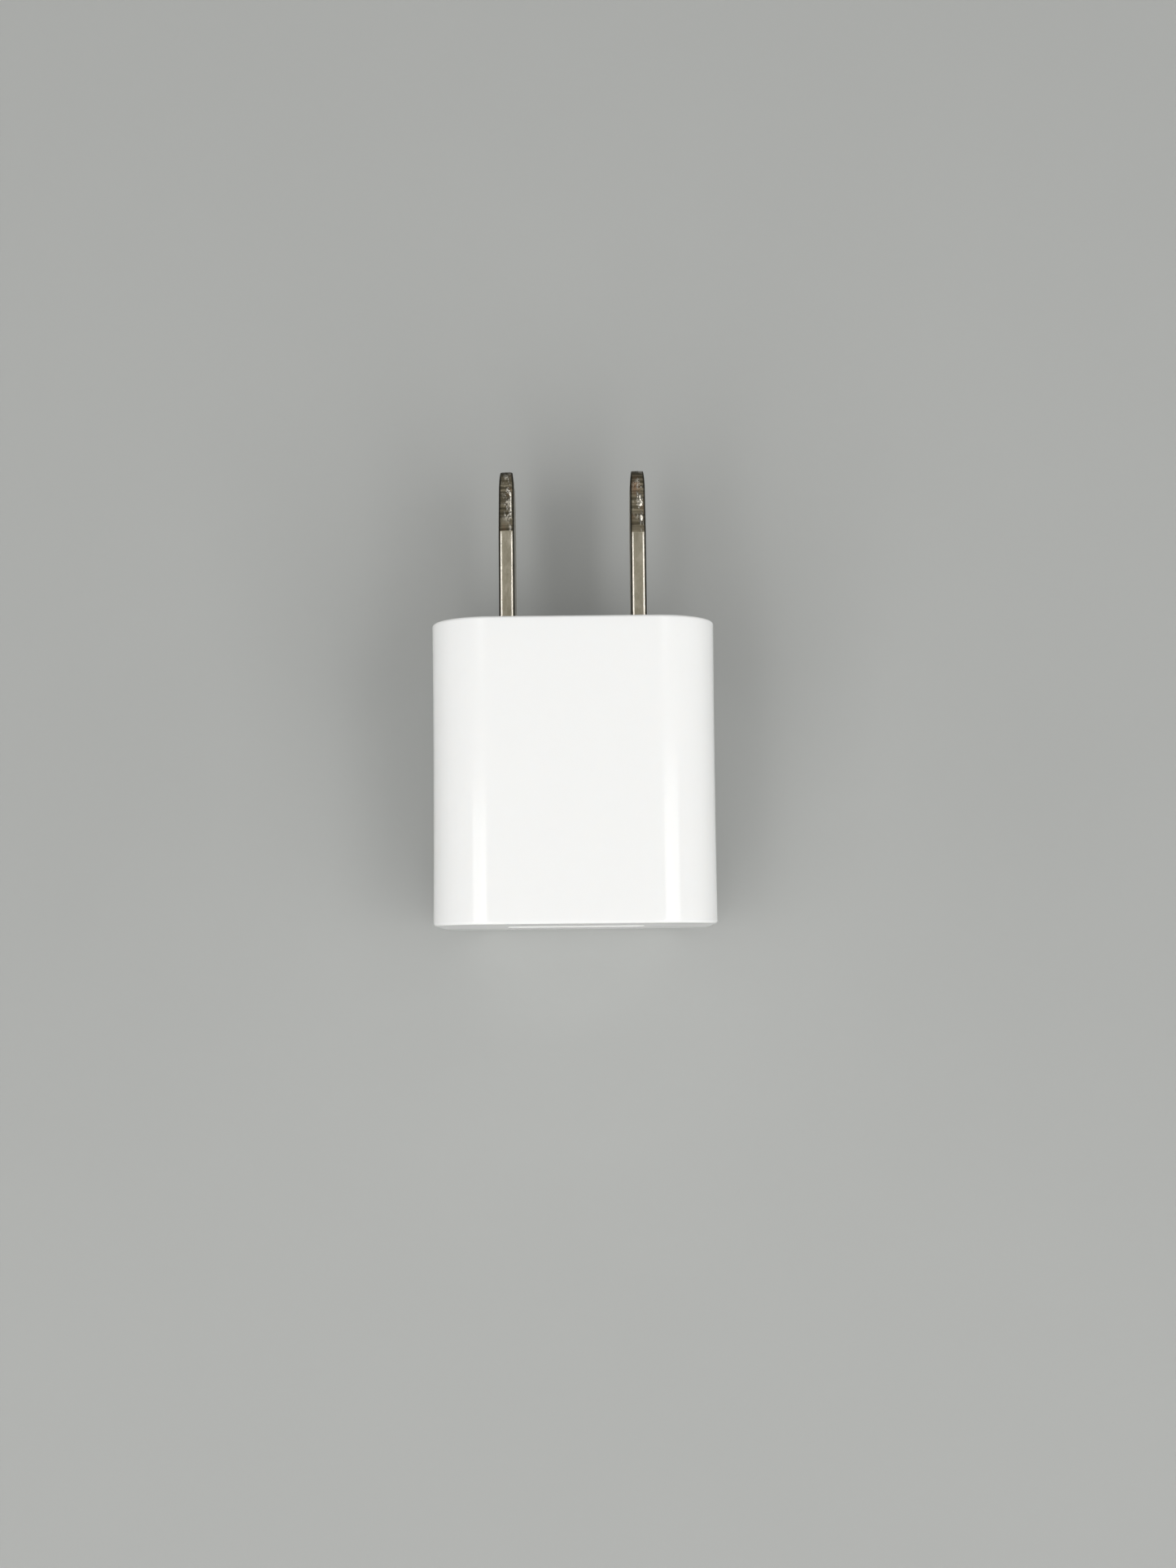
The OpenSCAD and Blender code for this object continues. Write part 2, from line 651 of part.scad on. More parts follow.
module output_capacitor_right() in_row_frame() color("silver")
    translate([out_cap_right_x, out_cap_y, out_cap_z]) can(out_cap_d, out_cap_l);

module input_choke() in_row_frame() color("black")
    translate([choke[0], choke_end - choke_l, choke[1]]) rotate([-90, 0, 0]) rotate_extrude()
        polygon([[0, 0], [choke_d / 2 - can_edge, 0], [choke_d / 2, can_edge],
            [choke_d / 2, choke_l - can_edge], [choke_d / 2 - can_edge, choke_l], [0, choke_l]]);

module fusible_resistor() in_row_frame() color("olivedrab")
    translate([fuse[0], fuse_end - fuse_l, fuse[1]]) rotate([-90, 0, 0]) rotate_extrude() {
        square([fuse_waist_d / 2, fuse_l]);
        for (y = [0, fuse_l - fuse_cap_l]) translate([0, y])
            polygon([[0, 0], [fuse_d / 2 - can_edge, 0], [fuse_d / 2, can_edge],
                [fuse_d / 2, fuse_cap_l - can_edge], [fuse_d / 2 - can_edge, fuse_cap_l], [0, fuse_cap_l]]);
    }

module y_capacitor() in_row_frame() color("royalblue")
    translate([y_cap[0], y_cap_y - y_cap_t / 2, y_cap[1]]) rotate([-90, 0, 0]) rotate_extrude() {
        square([y_cap_d / 2 - disc_edge, y_cap_t]);
        translate([0, disc_edge]) square([y_cap_d / 2, y_cap_t - 2 * disc_edge]);
        for (y = [disc_edge, y_cap_t - disc_edge])
            translate([y_cap_d / 2 - disc_edge, y]) circle(disc_edge);
    }

module snubber_capacitor() in_row_frame() color("firebrick")
    translate([snubber[0], radial_end - snubber_box[1] / 2, snubber[1]])
        linear_extrude(snubber_box[2], center = true) round_rect(snubber_box[0], snubber_box[1], disc_edge);

module power_transistor() in_row_frame() color("black")
    translate([0, transistor_y, transistor_foot])
        along_x(transistor_box[0])
            polygon([[0, 0], [transistor_box[1], 0], [transistor_box[1], transistor_box[2]],
                [can_edge, transistor_box[2]], [0, transistor_box[2] - can_edge]]);

module optocoupler() in_row_frame() color("white")
    translate([opto_mid[0], opto_mid[1], secondary_top + 2 * fit_gap + opto_box[2] / 2])
        along_x(opto_box[0]) polygon(chamfered(opto_box[1], opto_box[2], can_edge));

// Straight lead from the rear face of a part to behind the primary board
module straight_lead(p, d)
    translate([p[0], p[1] + lead_gap, p[2]]) rod(d, lead_back - p[1] - lead_gap);

// Wires that run from the primary board's parts to behind the board
module primary_leads() in_row_frame() color("silver") {
    for (s = [-1, 1]) {
        straight_lead([lower_cap[0] + s * lower_cap_pitch / 2, radial_end, lower_cap[1]], lead_d);
        straight_lead([upper_cap[0] + s * upper_cap_pitch / 2, radial_end, upper_cap[1]], wire_d);
        straight_lead([choke[0], choke_end, choke[1] + s * choke_pitch / 2], lead_d);
        straight_lead([snubber[0], radial_end, snubber[1] + s * snubber_pitch / 2], lead_d);
    }
    straight_lead([fuse[0], fuse_end, fuse[1]], wire_d);
    loop_y = fuse_end - fuse_l - fuse_loop;
    wire([[fuse[0], fuse_end - fuse_l - lead_gap, fuse[1]], [fuse[0], loop_y, fuse[1]],
        [fuse[0], loop_y, fuse_loop_z], [fuse[0], lead_back, fuse_loop_z]], wire_d);
    y_lead_x = y_cap[0] - y_cap_pitch / 2;
    wire([[y_lead_x, y_cap_y, y_cap_foot], [y_lead_x, y_cap_y, y_lead_z],
        [y_lead_x, lead_back, y_lead_z]], lead_d);
    for (x = [-1, 0, 1] * transistor_pitch)
        wire([[x, transistor_y + transistor_box[1] / 2, transistor_foot - lead_gap],
            [x, transistor_y + transistor_box[1] / 2, transistor_lead_z],
            [x, lead_back, transistor_lead_z]], lead_d);
}

// Wires that run down through the secondary board
module secondary_leads() in_row_frame() color("silver") {
    base = out_cap_y + out_cap_l + lead_gap;
    for (s = [-1, 1]) {
        right_x = out_cap_right_x + s * out_lead_pitch / 2;
        wire([[right_x, base, out_cap_z], [right_x, right_lead_y, out_cap_z],
            [right_x, right_lead_y, lead_foot]], lead_d);
        left_z = out_cap_z + s * out_lead_pitch / 2;
        left_y = left_lead_y[(s + 1) / 2];
        wire([[out_cap_left_x, base, left_z], [out_cap_left_x, left_y, left_z],
            [out_cap_left_x, left_y, lead_foot]], lead_d);
    }
    y_lead_x = y_cap[0] + y_cap_pitch / 2;
    wire([[y_lead_x, y_cap_y, y_cap_foot], [y_lead_x, y_cap_y, y_lead_z],
        [y_lead_x, y_lead_y, y_lead_z], [y_lead_x, y_lead_y, lead_foot]], lead_d);
    for (s = [-1, 1], y = opto_lead_y) {
        x = opto_mid[0] + s * opto_lead_span / 2;
        lead_z = secondary_top + 2 * fit_gap + opto_box[2] / 2;
        wire([[opto_mid[0] + s * (opto_box[0] / 2 + lead_gap), y, lead_z], [x, y, lead_z],
            [x, y, lead_foot]], lead_d);
    }
}

// ---------- surface-mounted parts ----------

module bridge_rectifier() in_row_frame() color("black")
    translate([bridge[0], primary_y - bridge_box[1] / 2 - fit_gap, bridge[1]])
        linear_extrude(bridge_box[2], center = true)
            polygon(chamfered(bridge_box[0], bridge_box[1], can_edge));

// Moulded chip in the XY plane, its feet along X, standing on z = 0
module small_outline(size, feet, foot_pitch) {
    translate([0, 0, size[2] / 2 + chip_lift])
        along_x(size[0]) polygon(chamfered(size[1], size[2], chip_edge));
    for (s = [-1, 1], i = [0:feet - 1])
        translate([(i - (feet - 1) / 2) * foot_pitch, s * (size[1] + foot_l) / 2, foot_h / 2])
            cube([foot_w, foot_l + 0.2, foot_h], center = true);
}

module control_ic() in_row_frame() color("black")
    translate([ic[0], primary_y + board_t + mould_gap, ic[1]])
        rotate([-90, 0, 0]) small_outline(ic_box, 4, 1.27);

module output_rectifier() in_row_frame() color("black")
    translate([rectifier[0], rectifier[1], secondary_top + mould_gap]) small_outline(rectifier_box, 1, 1);

module regulator_ic() in_row_frame() color("black")
    translate([regulator[0], regulator[1], secondary_top + mould_gap])
        rotate([0, 0, 90]) small_outline(regulator_box, 3, 0.95);

module primary_chips() in_row_frame() color("tan")
    for (p = primary_chip_at)
        translate([p[0], primary_y + board_t + mould_gap + chip_box[2] / 2, p[1]])
            cube([chip_box[0], chip_box[2], chip_box[1]], center = true);

module secondary_chips() in_row_frame() color("tan")
    for (p = secondary_chip_at)
        translate([p[0], p[1], secondary_top + mould_gap + chip_box[2] / 2]) cube(chip_box, center = true);

// ---------- insulation and solder ----------

module insulation_upper() in_row_frame() color("ivory")
    translate([upper_film[0], upper_film[1], mid_z + shell_h / 2 + fit_gap])
        cube([upper_film[2], upper_film[3], film_t]);

module insulation_lower() in_row_frame() color("ivory")
    translate([lower_film[0], lower_film[1], lead_foot - 2 * fit_gap - film_t])
        cube([lower_film[2], lower_film[3], film_t]);

// Cone of solder around a lead of diameter d, standing on z = 0
module fillet(d) difference() {
    cylinder(d1 = d + 2 * fillet_w, d2 = d + fillet_w / 2, h = fillet_h, $fn = 32);
    translate([0, 0, -1]) cylinder(d = d + 2 * mould_gap, h = fillet_h + 2, $fn = 32);
}

module solder_primary() in_row_frame() color("gainsboro")
    for (p = primary_pins)
        translate([p[0], primary_y + board_t + mould_gap, p[1]]) rotate([-90, 0, 0]) fillet(p[2]);

module solder_secondary() in_row_frame() color("gainsboro")
    for (p = secondary_pins)
        translate([p[0], p[1], secondary_bottom - mould_gap]) mirror([0, 0, 1]) fillet(p[2]);

main_shell();
end_cover();
blade_left();
blade_right();
primary_board();
secondary_board();
board_link_pins();
usb_shell();
usb_insulator();
usb_contact_tails();
contact_spring_1();
contact_spring_2();
contact_spring_3();
contact_spring_4();
shell_finger_top_left();
shell_finger_top_right();
shell_finger_bottom_left();
shell_finger_bottom_right();
transformer_bobbin();
transformer_core_front();
transformer_core_rear();
transformer_winding();
winding_tape();
core_tape();
transformer_pins();
bulk_capacitor_lower();
bulk_capacitor_upper();
input_choke();
fusible_resistor();
y_capacitor();
snubber_capacitor();
power_transistor();
optocoupler();
bridge_rectifier();
control_ic();
output_capacitor_left();
output_capacitor_right();
output_rectifier();
regulator_ic();
primary_chips();
secondary_chips();
primary_leads();
secondary_leads();
insulation_upper();
insulation_lower();
solder_primary();
solder_secondary();
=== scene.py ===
import json
import math

import bmesh
import bpy
from mathutils import Matrix, Vector, noise


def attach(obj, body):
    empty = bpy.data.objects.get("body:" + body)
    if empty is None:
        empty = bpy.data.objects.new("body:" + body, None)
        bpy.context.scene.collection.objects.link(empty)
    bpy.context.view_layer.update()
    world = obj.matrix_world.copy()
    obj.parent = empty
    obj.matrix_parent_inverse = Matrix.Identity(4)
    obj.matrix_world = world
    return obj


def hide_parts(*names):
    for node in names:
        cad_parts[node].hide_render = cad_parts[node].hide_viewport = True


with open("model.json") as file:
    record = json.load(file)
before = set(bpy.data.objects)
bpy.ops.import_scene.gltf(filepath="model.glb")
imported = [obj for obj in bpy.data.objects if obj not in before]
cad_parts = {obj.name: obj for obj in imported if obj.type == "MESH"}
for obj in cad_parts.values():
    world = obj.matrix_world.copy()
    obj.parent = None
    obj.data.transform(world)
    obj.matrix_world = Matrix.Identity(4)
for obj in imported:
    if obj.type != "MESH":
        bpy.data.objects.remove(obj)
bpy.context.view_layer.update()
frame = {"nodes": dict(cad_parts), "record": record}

# Sizes are in mm, and Y counts from the port face towards the blades, unless a comment says otherwise.
MM = 0.001
BODY, BODY_L = 26.4, 28.2         # the casing's width and height, and its length
MID_Z = BODY / 2
PITCH = 12.7                      # between the middles of the blades
BLADE_W, BLADE_T, BLADE_L = 6.35, 1.5, 16.0
TIP = TOTAL = BODY_L + BLADE_L    # port face to blade tips
NOSE_L, NOSE_W, NOSE_R = 6.2, 4.2, 1.2  # the blade's tapered nose: length, width at the tip, corner
NOSE_AT = TIP - NOSE_L
LONGER = 0.2                      # the right blade's nose reaches this much further back
ROOT = "charger"


def yy(y):
    """Row-frame Y in metres of a distance from the port face in mm."""
    return (y - TOTAL / 2) * MM


# ---------------------------------------------------------------- material builder

class Mat:
    """A procedural material. Its textures use object coordinates in metres, so a scale is per metre."""

    def __init__(self, name, base, rough, metal=0.0, **shader):
        self.m = bpy.data.materials.new(name)
        self.m.use_nodes = True
        self.t = self.m.node_tree
        self.s = self.t.nodes["Principled BSDF"]
        self.s.inputs["Base Color"].default_value = (*base, 1)
        self.s.inputs["Roughness"].default_value = rough
        self.s.inputs["Metallic"].default_value = metal
        for key, value in shader.items():
            self.s.inputs[key.replace("_", " ")].default_value = value
        self.base, self.rough = base, rough
        self._bump = None
        self.coord = self.add("ShaderNodeTexCoord").outputs["Object"]

    def add(self, kind, **props):
        n = self.t.nodes.new(kind)
        for k, v in props.items():
            setattr(n, k, v)
        return n

    def link(self, a, b):
        self.t.links.new(a, b)

    def put(self, socket, value):
        """value is a socket to link from or a constant."""
        if isinstance(value, bpy.types.NodeSocket):
            self.link(value, socket)
        else:
            socket.default_value = value

    def math(self, op, a, b=0.0, c=0.0):
        n = self.add("ShaderNodeMath", operation=op)
        for i, v in enumerate((a, b, c)):
            self.put(n.inputs[i], v)
        return n.outputs[0]

    def scaled(self, x=1.0, y=1.0, z=1.0, rot=(0, 0, 0), shift=(0, 0, 0)):
        """Stretched, turned or shifted coordinates, for the at of a texture."""
        n = self.add("ShaderNodeMapping")
        self.link(self.coord, n.inputs["Vector"])
        n.inputs["Scale"].default_value = (x, y, z)
        n.inputs["Rotation"].default_value = rot
        n.inputs["Location"].default_value = shift
        return n.outputs[0]

    def noise(self, scale, detail=3.0, rough=0.5, at=None):
        n = self.add("ShaderNodeTexNoise")
        self.link(at or self.coord, n.inputs["Vector"])
        n.inputs["Scale"].default_value = scale
        n.inputs["Detail"].default_value = detail
        n.inputs["Roughness"].default_value = rough
        return n.outputs["Fac"]

    def voronoi(self, scale, at=None, feature="F1", metric="EUCLIDEAN"):
        n = self.add("ShaderNodeTexVoronoi", feature=feature, distance=metric)
        self.link(at or self.coord, n.inputs["Vector"])
        n.inputs["Scale"].default_value = scale
        return n.outputs["Distance"]

    def wave(self, scale, direction, distortion, detail):
        n = self.add("ShaderNodeTexWave", bands_direction=direction)
        self.link(self.coord, n.inputs["Vector"])
        n.inputs["Scale"].default_value = scale
        n.inputs["Distortion"].default_value = distortion
        n.inputs["Detail"].default_value = detail
        return n.outputs["Fac"]

    def remap(self, value, lo, hi, to_lo=0.0, to_hi=1.0, smooth=False):
        """Maps lo..hi to to_lo..to_hi and holds the end values outside."""
        n = self.add("ShaderNodeMapRange")
        if smooth:
            n.interpolation_type = "SMOOTHSTEP"
        self.put(n.inputs["Value"], value)
        for key, v in (("From Min", lo), ("From Max", hi), ("To Min", to_lo), ("To Max", to_hi)):
            n.inputs[key].default_value = v
        return n.outputs[0]

    def mix(self, fac, a, b):
        """Colour mix; a and b are sockets or rgb tuples."""
        n = self.add("ShaderNodeMix", data_type="RGBA")
        self.put(n.inputs[0], fac)
        for i, v in ((6, a), (7, b)):
            self.put(n.inputs[i], v if isinstance(v, bpy.types.NodeSocket) else (*v, 1))
        return n.outputs[2]

    def axis(self, name):
        n = self.add("ShaderNodeSeparateXYZ")
        self.link(self.coord, n.inputs[0])
        return n.outputs[name]

    def colour(self, socket):
        self.link(socket, self.s.inputs["Base Color"])

    def roughness(self, socket):
        self.link(socket, self.s.inputs["Roughness"])

    def bump(self, height, metres):
        """Adds a bump layer whose full height is metres."""
        n = self.add("ShaderNodeBump")
        n.inputs["Strength"].default_value = 1.0
        n.inputs["Distance"].default_value = metres
        self.link(height, n.inputs["Height"])
        if self._bump is not None:
            self.link(self._bump, n.inputs["Normal"])
        self._bump = n.outputs[0]
        self.link(self._bump, self.s.inputs["Normal"])

    def vary(self, amount, scale, dark):
        """Gentle colour variation from the base colour towards dark times it."""
        d = tuple(c * dark for c in self.base)
        f = self.remap(self.noise(scale, 4, 0.6), 0.35, 0.7, 0.0, amount)
        out = self.mix(f, self.base, d)
        self.colour(out)
        return out


def rough_noise(mat, scale, spread):
    mat.roughness(mat.remap(mat.noise(scale, 3, 0.6), 0.3, 0.7, mat.rough - spread, mat.rough + spread))


# ---------------------------------------------------------------- materials

def casing_plastic():
    """Glossy white plastic with a few faint specks, smears and hair scratches."""
    m = Mat("casing_plastic", (0.925, 0.93, 0.925), 0.09, IOR=1.5, Subsurface_Weight=0.3,
            Subsurface_Scale=0.001)
    m.s.inputs["Subsurface Radius"].default_value = (1.0, 0.95, 0.9)
    plain = m.vary(0.25, 120, 0.975)
    dot = m.remap(m.voronoi(125, m.scaled(shift=(0.2, 0.1, 0.4))), 0.030, 0.018)
    dots = m.math("MULTIPLY", dot, m.remap(m.noise(70, 2), 0.55, 0.62, 0.0, 0.4))
    m.colour(m.mix(dots, plain, (0.50, 0.50, 0.49)))
    long_scratch = m.voronoi(260, m.scaled(1, 0.06, 1, rot=(0, 0, 0.5)), "DISTANCE_TO_EDGE")
    hair = m.remap(long_scratch, 0.0, 0.012, 1.0, 0.0)
    patch = m.remap(m.noise(90, 2), 0.55, 0.7)
    scuff = m.math("MULTIPLY", hair, patch)
    smear = m.remap(m.noise(60, 4, 0.65), 0.35, 0.75, 0.09, 0.145)
    m.roughness(m.math("MULTIPLY_ADD", scuff, 0.12, smear))
    m.bump(m.noise(700, 2), 0.0000012)
    m.bump(scuff, -0.0000008)
    return m.m


def nickel_blade():
    """Satin nickel with painted highlight lines along its narrow sides and painted shade where they turn
    over and on the tip, and a tarnished milled nose rubbed bright.
    """
    m = Mat("nickel_blade", (0.55, 0.51, 0.44), 0.34, 1.0)
    y, x = m.axis("Y"), m.axis("X")

    def by_blade(left, right):
        """One value on the left blade and another on the right one."""
        return m.remap(x, -0.0001, 0.0001, left, right)

    across = m.math("ADD", x, by_blade(0.5 * PITCH * MM, -0.5 * PITCH * MM))
    facing = m.add("ShaderNodeSeparateXYZ")
    m.link(m.add("ShaderNodeTexCoord").outputs["Normal"], facing.inputs[0])
    lean = m.math("ABSOLUTE", facing.outputs["X"])
    nose_start = yy(NOSE_AT)
    along = m.math("ADD", y, by_blade(0.0, LONGER * MM))
    wander = m.math("MULTIPLY_ADD", m.noise(1500, 2), 0.00012, along)
    narrow = m.remap(lean, 0.97, 0.85)
    worn = m.math("MULTIPLY", m.remap(wander, nose_start + 0.00002, nose_start + 0.00016), narrow)

    # the clean part: grained, stained and specked on the narrow sides, brushed on the broad ones
    grain = m.noise(2600, 4, 0.7, m.scaled(1, 0.3, 1))
    stain = m.noise(420, 3, 0.6, m.scaled(1, 0.5, 1))
    clean = m.mix(m.remap(grain, 0.35, 0.7), (0.52, 0.475, 0.365), (0.345, 0.31, 0.235))
    clean = m.mix(m.remap(stain, 0.5, 0.72, 0.0, 0.5), clean, (0.27, 0.235, 0.17))
    cloud = m.noise(1100, 3, 0.6, m.scaled(1, 0.5, 1, shift=(4, 2, 7)))
    clean = m.mix(m.remap(cloud, 0.50, 0.68, 0.0, 0.6), clean, (0.66, 0.61, 0.50))
    brushed = m.remap(m.noise(1500, 3, 0.6, m.scaled(1, 0.12, 1.5)), 0.35, 0.68)
    broad_side = m.mix(brushed, (0.62, 0.585, 0.515), (0.47, 0.44, 0.38))
    clean = m.mix(narrow, broad_side, clean)
    speck = m.remap(m.voronoi(900, m.scaled(1, 0.5, 1)), 0.16, 0.10)
    zone = m.remap(m.noise(310, 2, 0.5, m.scaled(1, 0.6, 1, shift=(2, 5, 1))), 0.56, 0.62)
    clean = m.mix(m.math("MULTIPLY", speck, zone), clean, (0.90, 0.85, 0.74))
    # painted highlight: a bright band along each narrow side where its crown turns down, chosen by the
    # normal's lean, fading out before the nose and less rough
    fade = m.remap(along, nose_start + 0.0003, nose_start - 0.0004)
    line = m.math("MULTIPLY", m.remap(lean, 0.095, 0.13), m.remap(lean, 0.27, 0.21))
    edge = m.math("MULTIPLY", line, fade)

    # the milled nose: cross ridges, brown patches, and plating rubbed bright in flakes and in a chain
    ridge = m.noise(420, 3, 0.7, m.scaled(0.25, 9, 0.6))
    tarnish = m.mix(m.remap(ridge, 0.38, 0.62), (0.325, 0.285, 0.205), (0.118, 0.101, 0.067))
    patch = m.remap(m.noise(520, 3, 0.6, m.scaled(1, 0.8, 1, shift=(0.3, 0.7, 0.1))), 0.53, 0.66)
    tarnish = m.mix(m.math("MULTIPLY", patch, 0.55), tarnish, (0.33, 0.185, 0.105))
    beyond = m.remap(y, nose_start + 0.0008, nose_start + 0.0018)
    inner_half = m.remap(across, -0.00035, 0.00020, 0.20, 1.0)
    cluster = m.remap(m.noise(560, 3, 0.7, m.scaled(1.2, 0.8, 0.5, shift=(3, 1, 2))), 0.42, 0.50)
    flake = m.remap(m.noise(1500, 3, 0.65, m.scaled(1.5, 0.9, 0.6, rot=(0, 0, 0.7))), 0.49, 0.54)
    rub = m.math("MULTIPLY", m.math("MULTIPLY", cluster, flake), m.math("MULTIPLY", beyond, inner_half))
    bead = m.remap(m.voronoi(1000, m.scaled(1.4, 1, 0.4, shift=(1, 2, 0))), 0.50, 0.40)
    drift = m.math("MULTIPLY_ADD", m.math("SUBTRACT", y, nose_start), -0.10, 0.00050)
    off_line = m.math("ABSOLUTE", m.math("SUBTRACT", across, drift))
    chain = m.math("MULTIPLY", bead, m.remap(off_line, 0.00026, 0.00012))
    chain = m.math("MULTIPLY", chain, by_blade(0.45, 1.0))
    rub = m.math("MULTIPLY", m.math("MAXIMUM", rub, chain), m.remap(lean, 0.22, 0.16))
    tarnish = m.mix(by_blade(0.12, 0.0), tarnish, (0.0, 0.0, 0.0))
    tarnish = m.mix(rub, tarnish, (0.96, 0.91, 0.80))

    # painted shade: dark where the narrow side turns over to the broad side, and on the tip's end face
    painted_rim_shade = m.math("MULTIPLY", m.remap(lean, 0.24, 0.34), m.remap(lean, 0.985, 0.93))
    end = m.remap(facing.outputs["Y"], 0.45, 0.75)
    dark = m.math("MAXIMUM", painted_rim_shade, m.math("MULTIPLY", end, 0.75))
    # (0.95, 0.90, 0.80) is the colour of the painted highlight bands on the narrow sides
    shaded = m.mix(worn, m.mix(edge, clean, (0.95, 0.90, 0.80)), tarnish)
    # (0.050, 0.046, 0.036) is the colour of the painted shade on the rims and the tip
    m.colour(m.mix(dark, shaded, (0.050, 0.046, 0.036)))
    clean_rough = m.math("MULTIPLY_ADD", edge, -0.14, m.remap(grain, 0.3, 0.7, 0.28, 0.42))
    worn_rough = m.math("MULTIPLY_ADD", rub, -0.28, 0.50)
    mixed = m.add("ShaderNodeMix")
    for i, v in ((0, worn), (2, clean_rough), (3, worn_rough)):
        m.put(mixed.inputs[i], v)
    m.roughness(mixed.outputs[0])
    m.bump(grain, 0.000004)
    m.bump(m.math("MULTIPLY", ridge, worn), 0.00004)
    m.bump(m.math("MULTIPLY", rub, worn), 0.00006)
    return m.m


def sheet_steel():
    """Bright nickel-plated sheet, drawn along Y."""
    m = Mat("port_steel", (0.86, 0.86, 0.85), 0.28, 1.0)
    brushed = m.noise(900, 4, 0.65, m.scaled(3, 0.08, 3))
    m.colour(m.mix(m.remap(brushed, 0.3, 0.7), (0.90, 0.90, 0.89), (0.74, 0.74, 0.73)))
    m.roughness(m.remap(brushed, 0.3, 0.7, 0.22, 0.4))
    m.bump(brushed, 0.000003)
    return m.m


def gold_plate(name):
    """Gold plating, rubbed along Y."""
    m = Mat(name, (0.92, 0.66, 0.28), 0.24, 1.0)
    rub = m.noise(1400, 4, 0.6, m.scaled(1.5, 0.2, 1))
    m.colour(m.mix(m.remap(rub, 0.4, 0.7), (0.94, 0.70, 0.33), (0.74, 0.50, 0.22)))
    m.roughness(m.remap(rub, 0.3, 0.7, 0.18, 0.36))
    m.bump(rub, 0.000002)
    return m.m


def moulded(name, base, rough, **shader):
    """Moulded or dipped plastic with a fine texture."""
    m = Mat(name, base, rough, **shader)
    m.vary(0.6, 160, 0.8)
    rough_noise(m, 420, 0.07)
    m.bump(m.noise(900, 3, 0.6), 0.000006)
    return m.m


def metal(name, base, rough):
    """Plain metal, dulled in spots."""
    m = Mat(name, base, rough, 1.0)
    spots = m.noise(700, 4, 0.65)
    m.colour(m.mix(m.remap(spots, 0.35, 0.7), base, tuple(c * 0.7 for c in base)))
    m.roughness(m.remap(spots, 0.3, 0.7, rough - 0.08, rough + 0.12))
    m.bump(spots, 0.000004)
    return m.m


def circuit_board():
    """Green solder mask over square-cut copper areas with thin gaps between them, on a glass weave."""
    m = Mat("circuit_board", (0.03, 0.17, 0.08), 0.32, IOR=1.5)
    near, far = (m.voronoi(300, None, kind, metric="CHEBYCHEV") for kind in ("F1", "F2"))
    copper = m.remap(m.math("SUBTRACT", far, near), 0.05, 0.08, 0.0, 1.0, True)
    weave = m.noise(5000, 1)
    green = m.mix(copper, (0.022, 0.125, 0.060), (0.035, 0.20, 0.095))
    m.colour(m.mix(m.math("MULTIPLY", weave, 0.25), green, (0.05, 0.22, 0.12)))
    rough_noise(m, 260, 0.06)
    m.bump(copper, 0.00003)
    m.bump(weave, 0.000004)
    return m.m


def wound_copper():
    """Enamelled copper wire with fine lines round the turns: painted shade, darker and rougher in the
    grooves between them.
    """
    m = Mat("wound_copper", (0.72, 0.30, 0.12), 0.25, 1.0)
    turns = m.wave(1500, "Y", 0.15, 1.0)
    # painted shade: dark copper where the wave is low, in the grooves between turns, and bright copper on
    # their crowns
    m.colour(m.mix(turns, (0.42, 0.15, 0.05), (0.86, 0.42, 0.18)))
    m.roughness(m.remap(turns, 0, 1, 0.4, 0.2))
    m.bump(turns, 0.00006)
    return m.m


def tape_film(name, base):
    """Thin film with slight wrinkles."""
    m = Mat(name, base, 0.3, IOR=1.6)
    wrinkle = m.noise(260, 3, 0.6, m.scaled(1, 0.3, 2.5))
    m.colour(m.mix(m.remap(wrinkle, 0.35, 0.7), base, tuple(c * 0.78 for c in base)))
    rough_noise(m, 300, 0.08)
    m.bump(wrinkle, 0.00003)
    return m.m


def shrink_sleeve(name, base, light):
    """Plain shrink sleeve, paler in patches."""
    m = Mat(name, base, 0.28, IOR=1.5)
    m.colour(m.mix(m.remap(m.noise(180, 3, 0.5), 0.35, 0.7), base, light))
    rough_noise(m, 240, 0.07)
    m.bump(m.noise(500, 2), 0.000012)
    return m.m


def ferrite():
    """Matt sintered ferrite with small pits."""
    m = Mat("ferrite", (0.045, 0.045, 0.05), 0.5)
    m.s.inputs["Specular IOR Level"].default_value = 0.6
    pits = m.remap(m.voronoi(2400), 0.0, 0.12, 0.0, 1.0)
    shade = m.remap(m.noise(700, 4, 0.7), 0.35, 0.7)
    m.colour(m.mix(shade, (0.06, 0.06, 0.066), (0.025, 0.025, 0.03)))
    rough_noise(m, 900, 0.12)
    m.bump(pits, 0.00002)
    return m.m


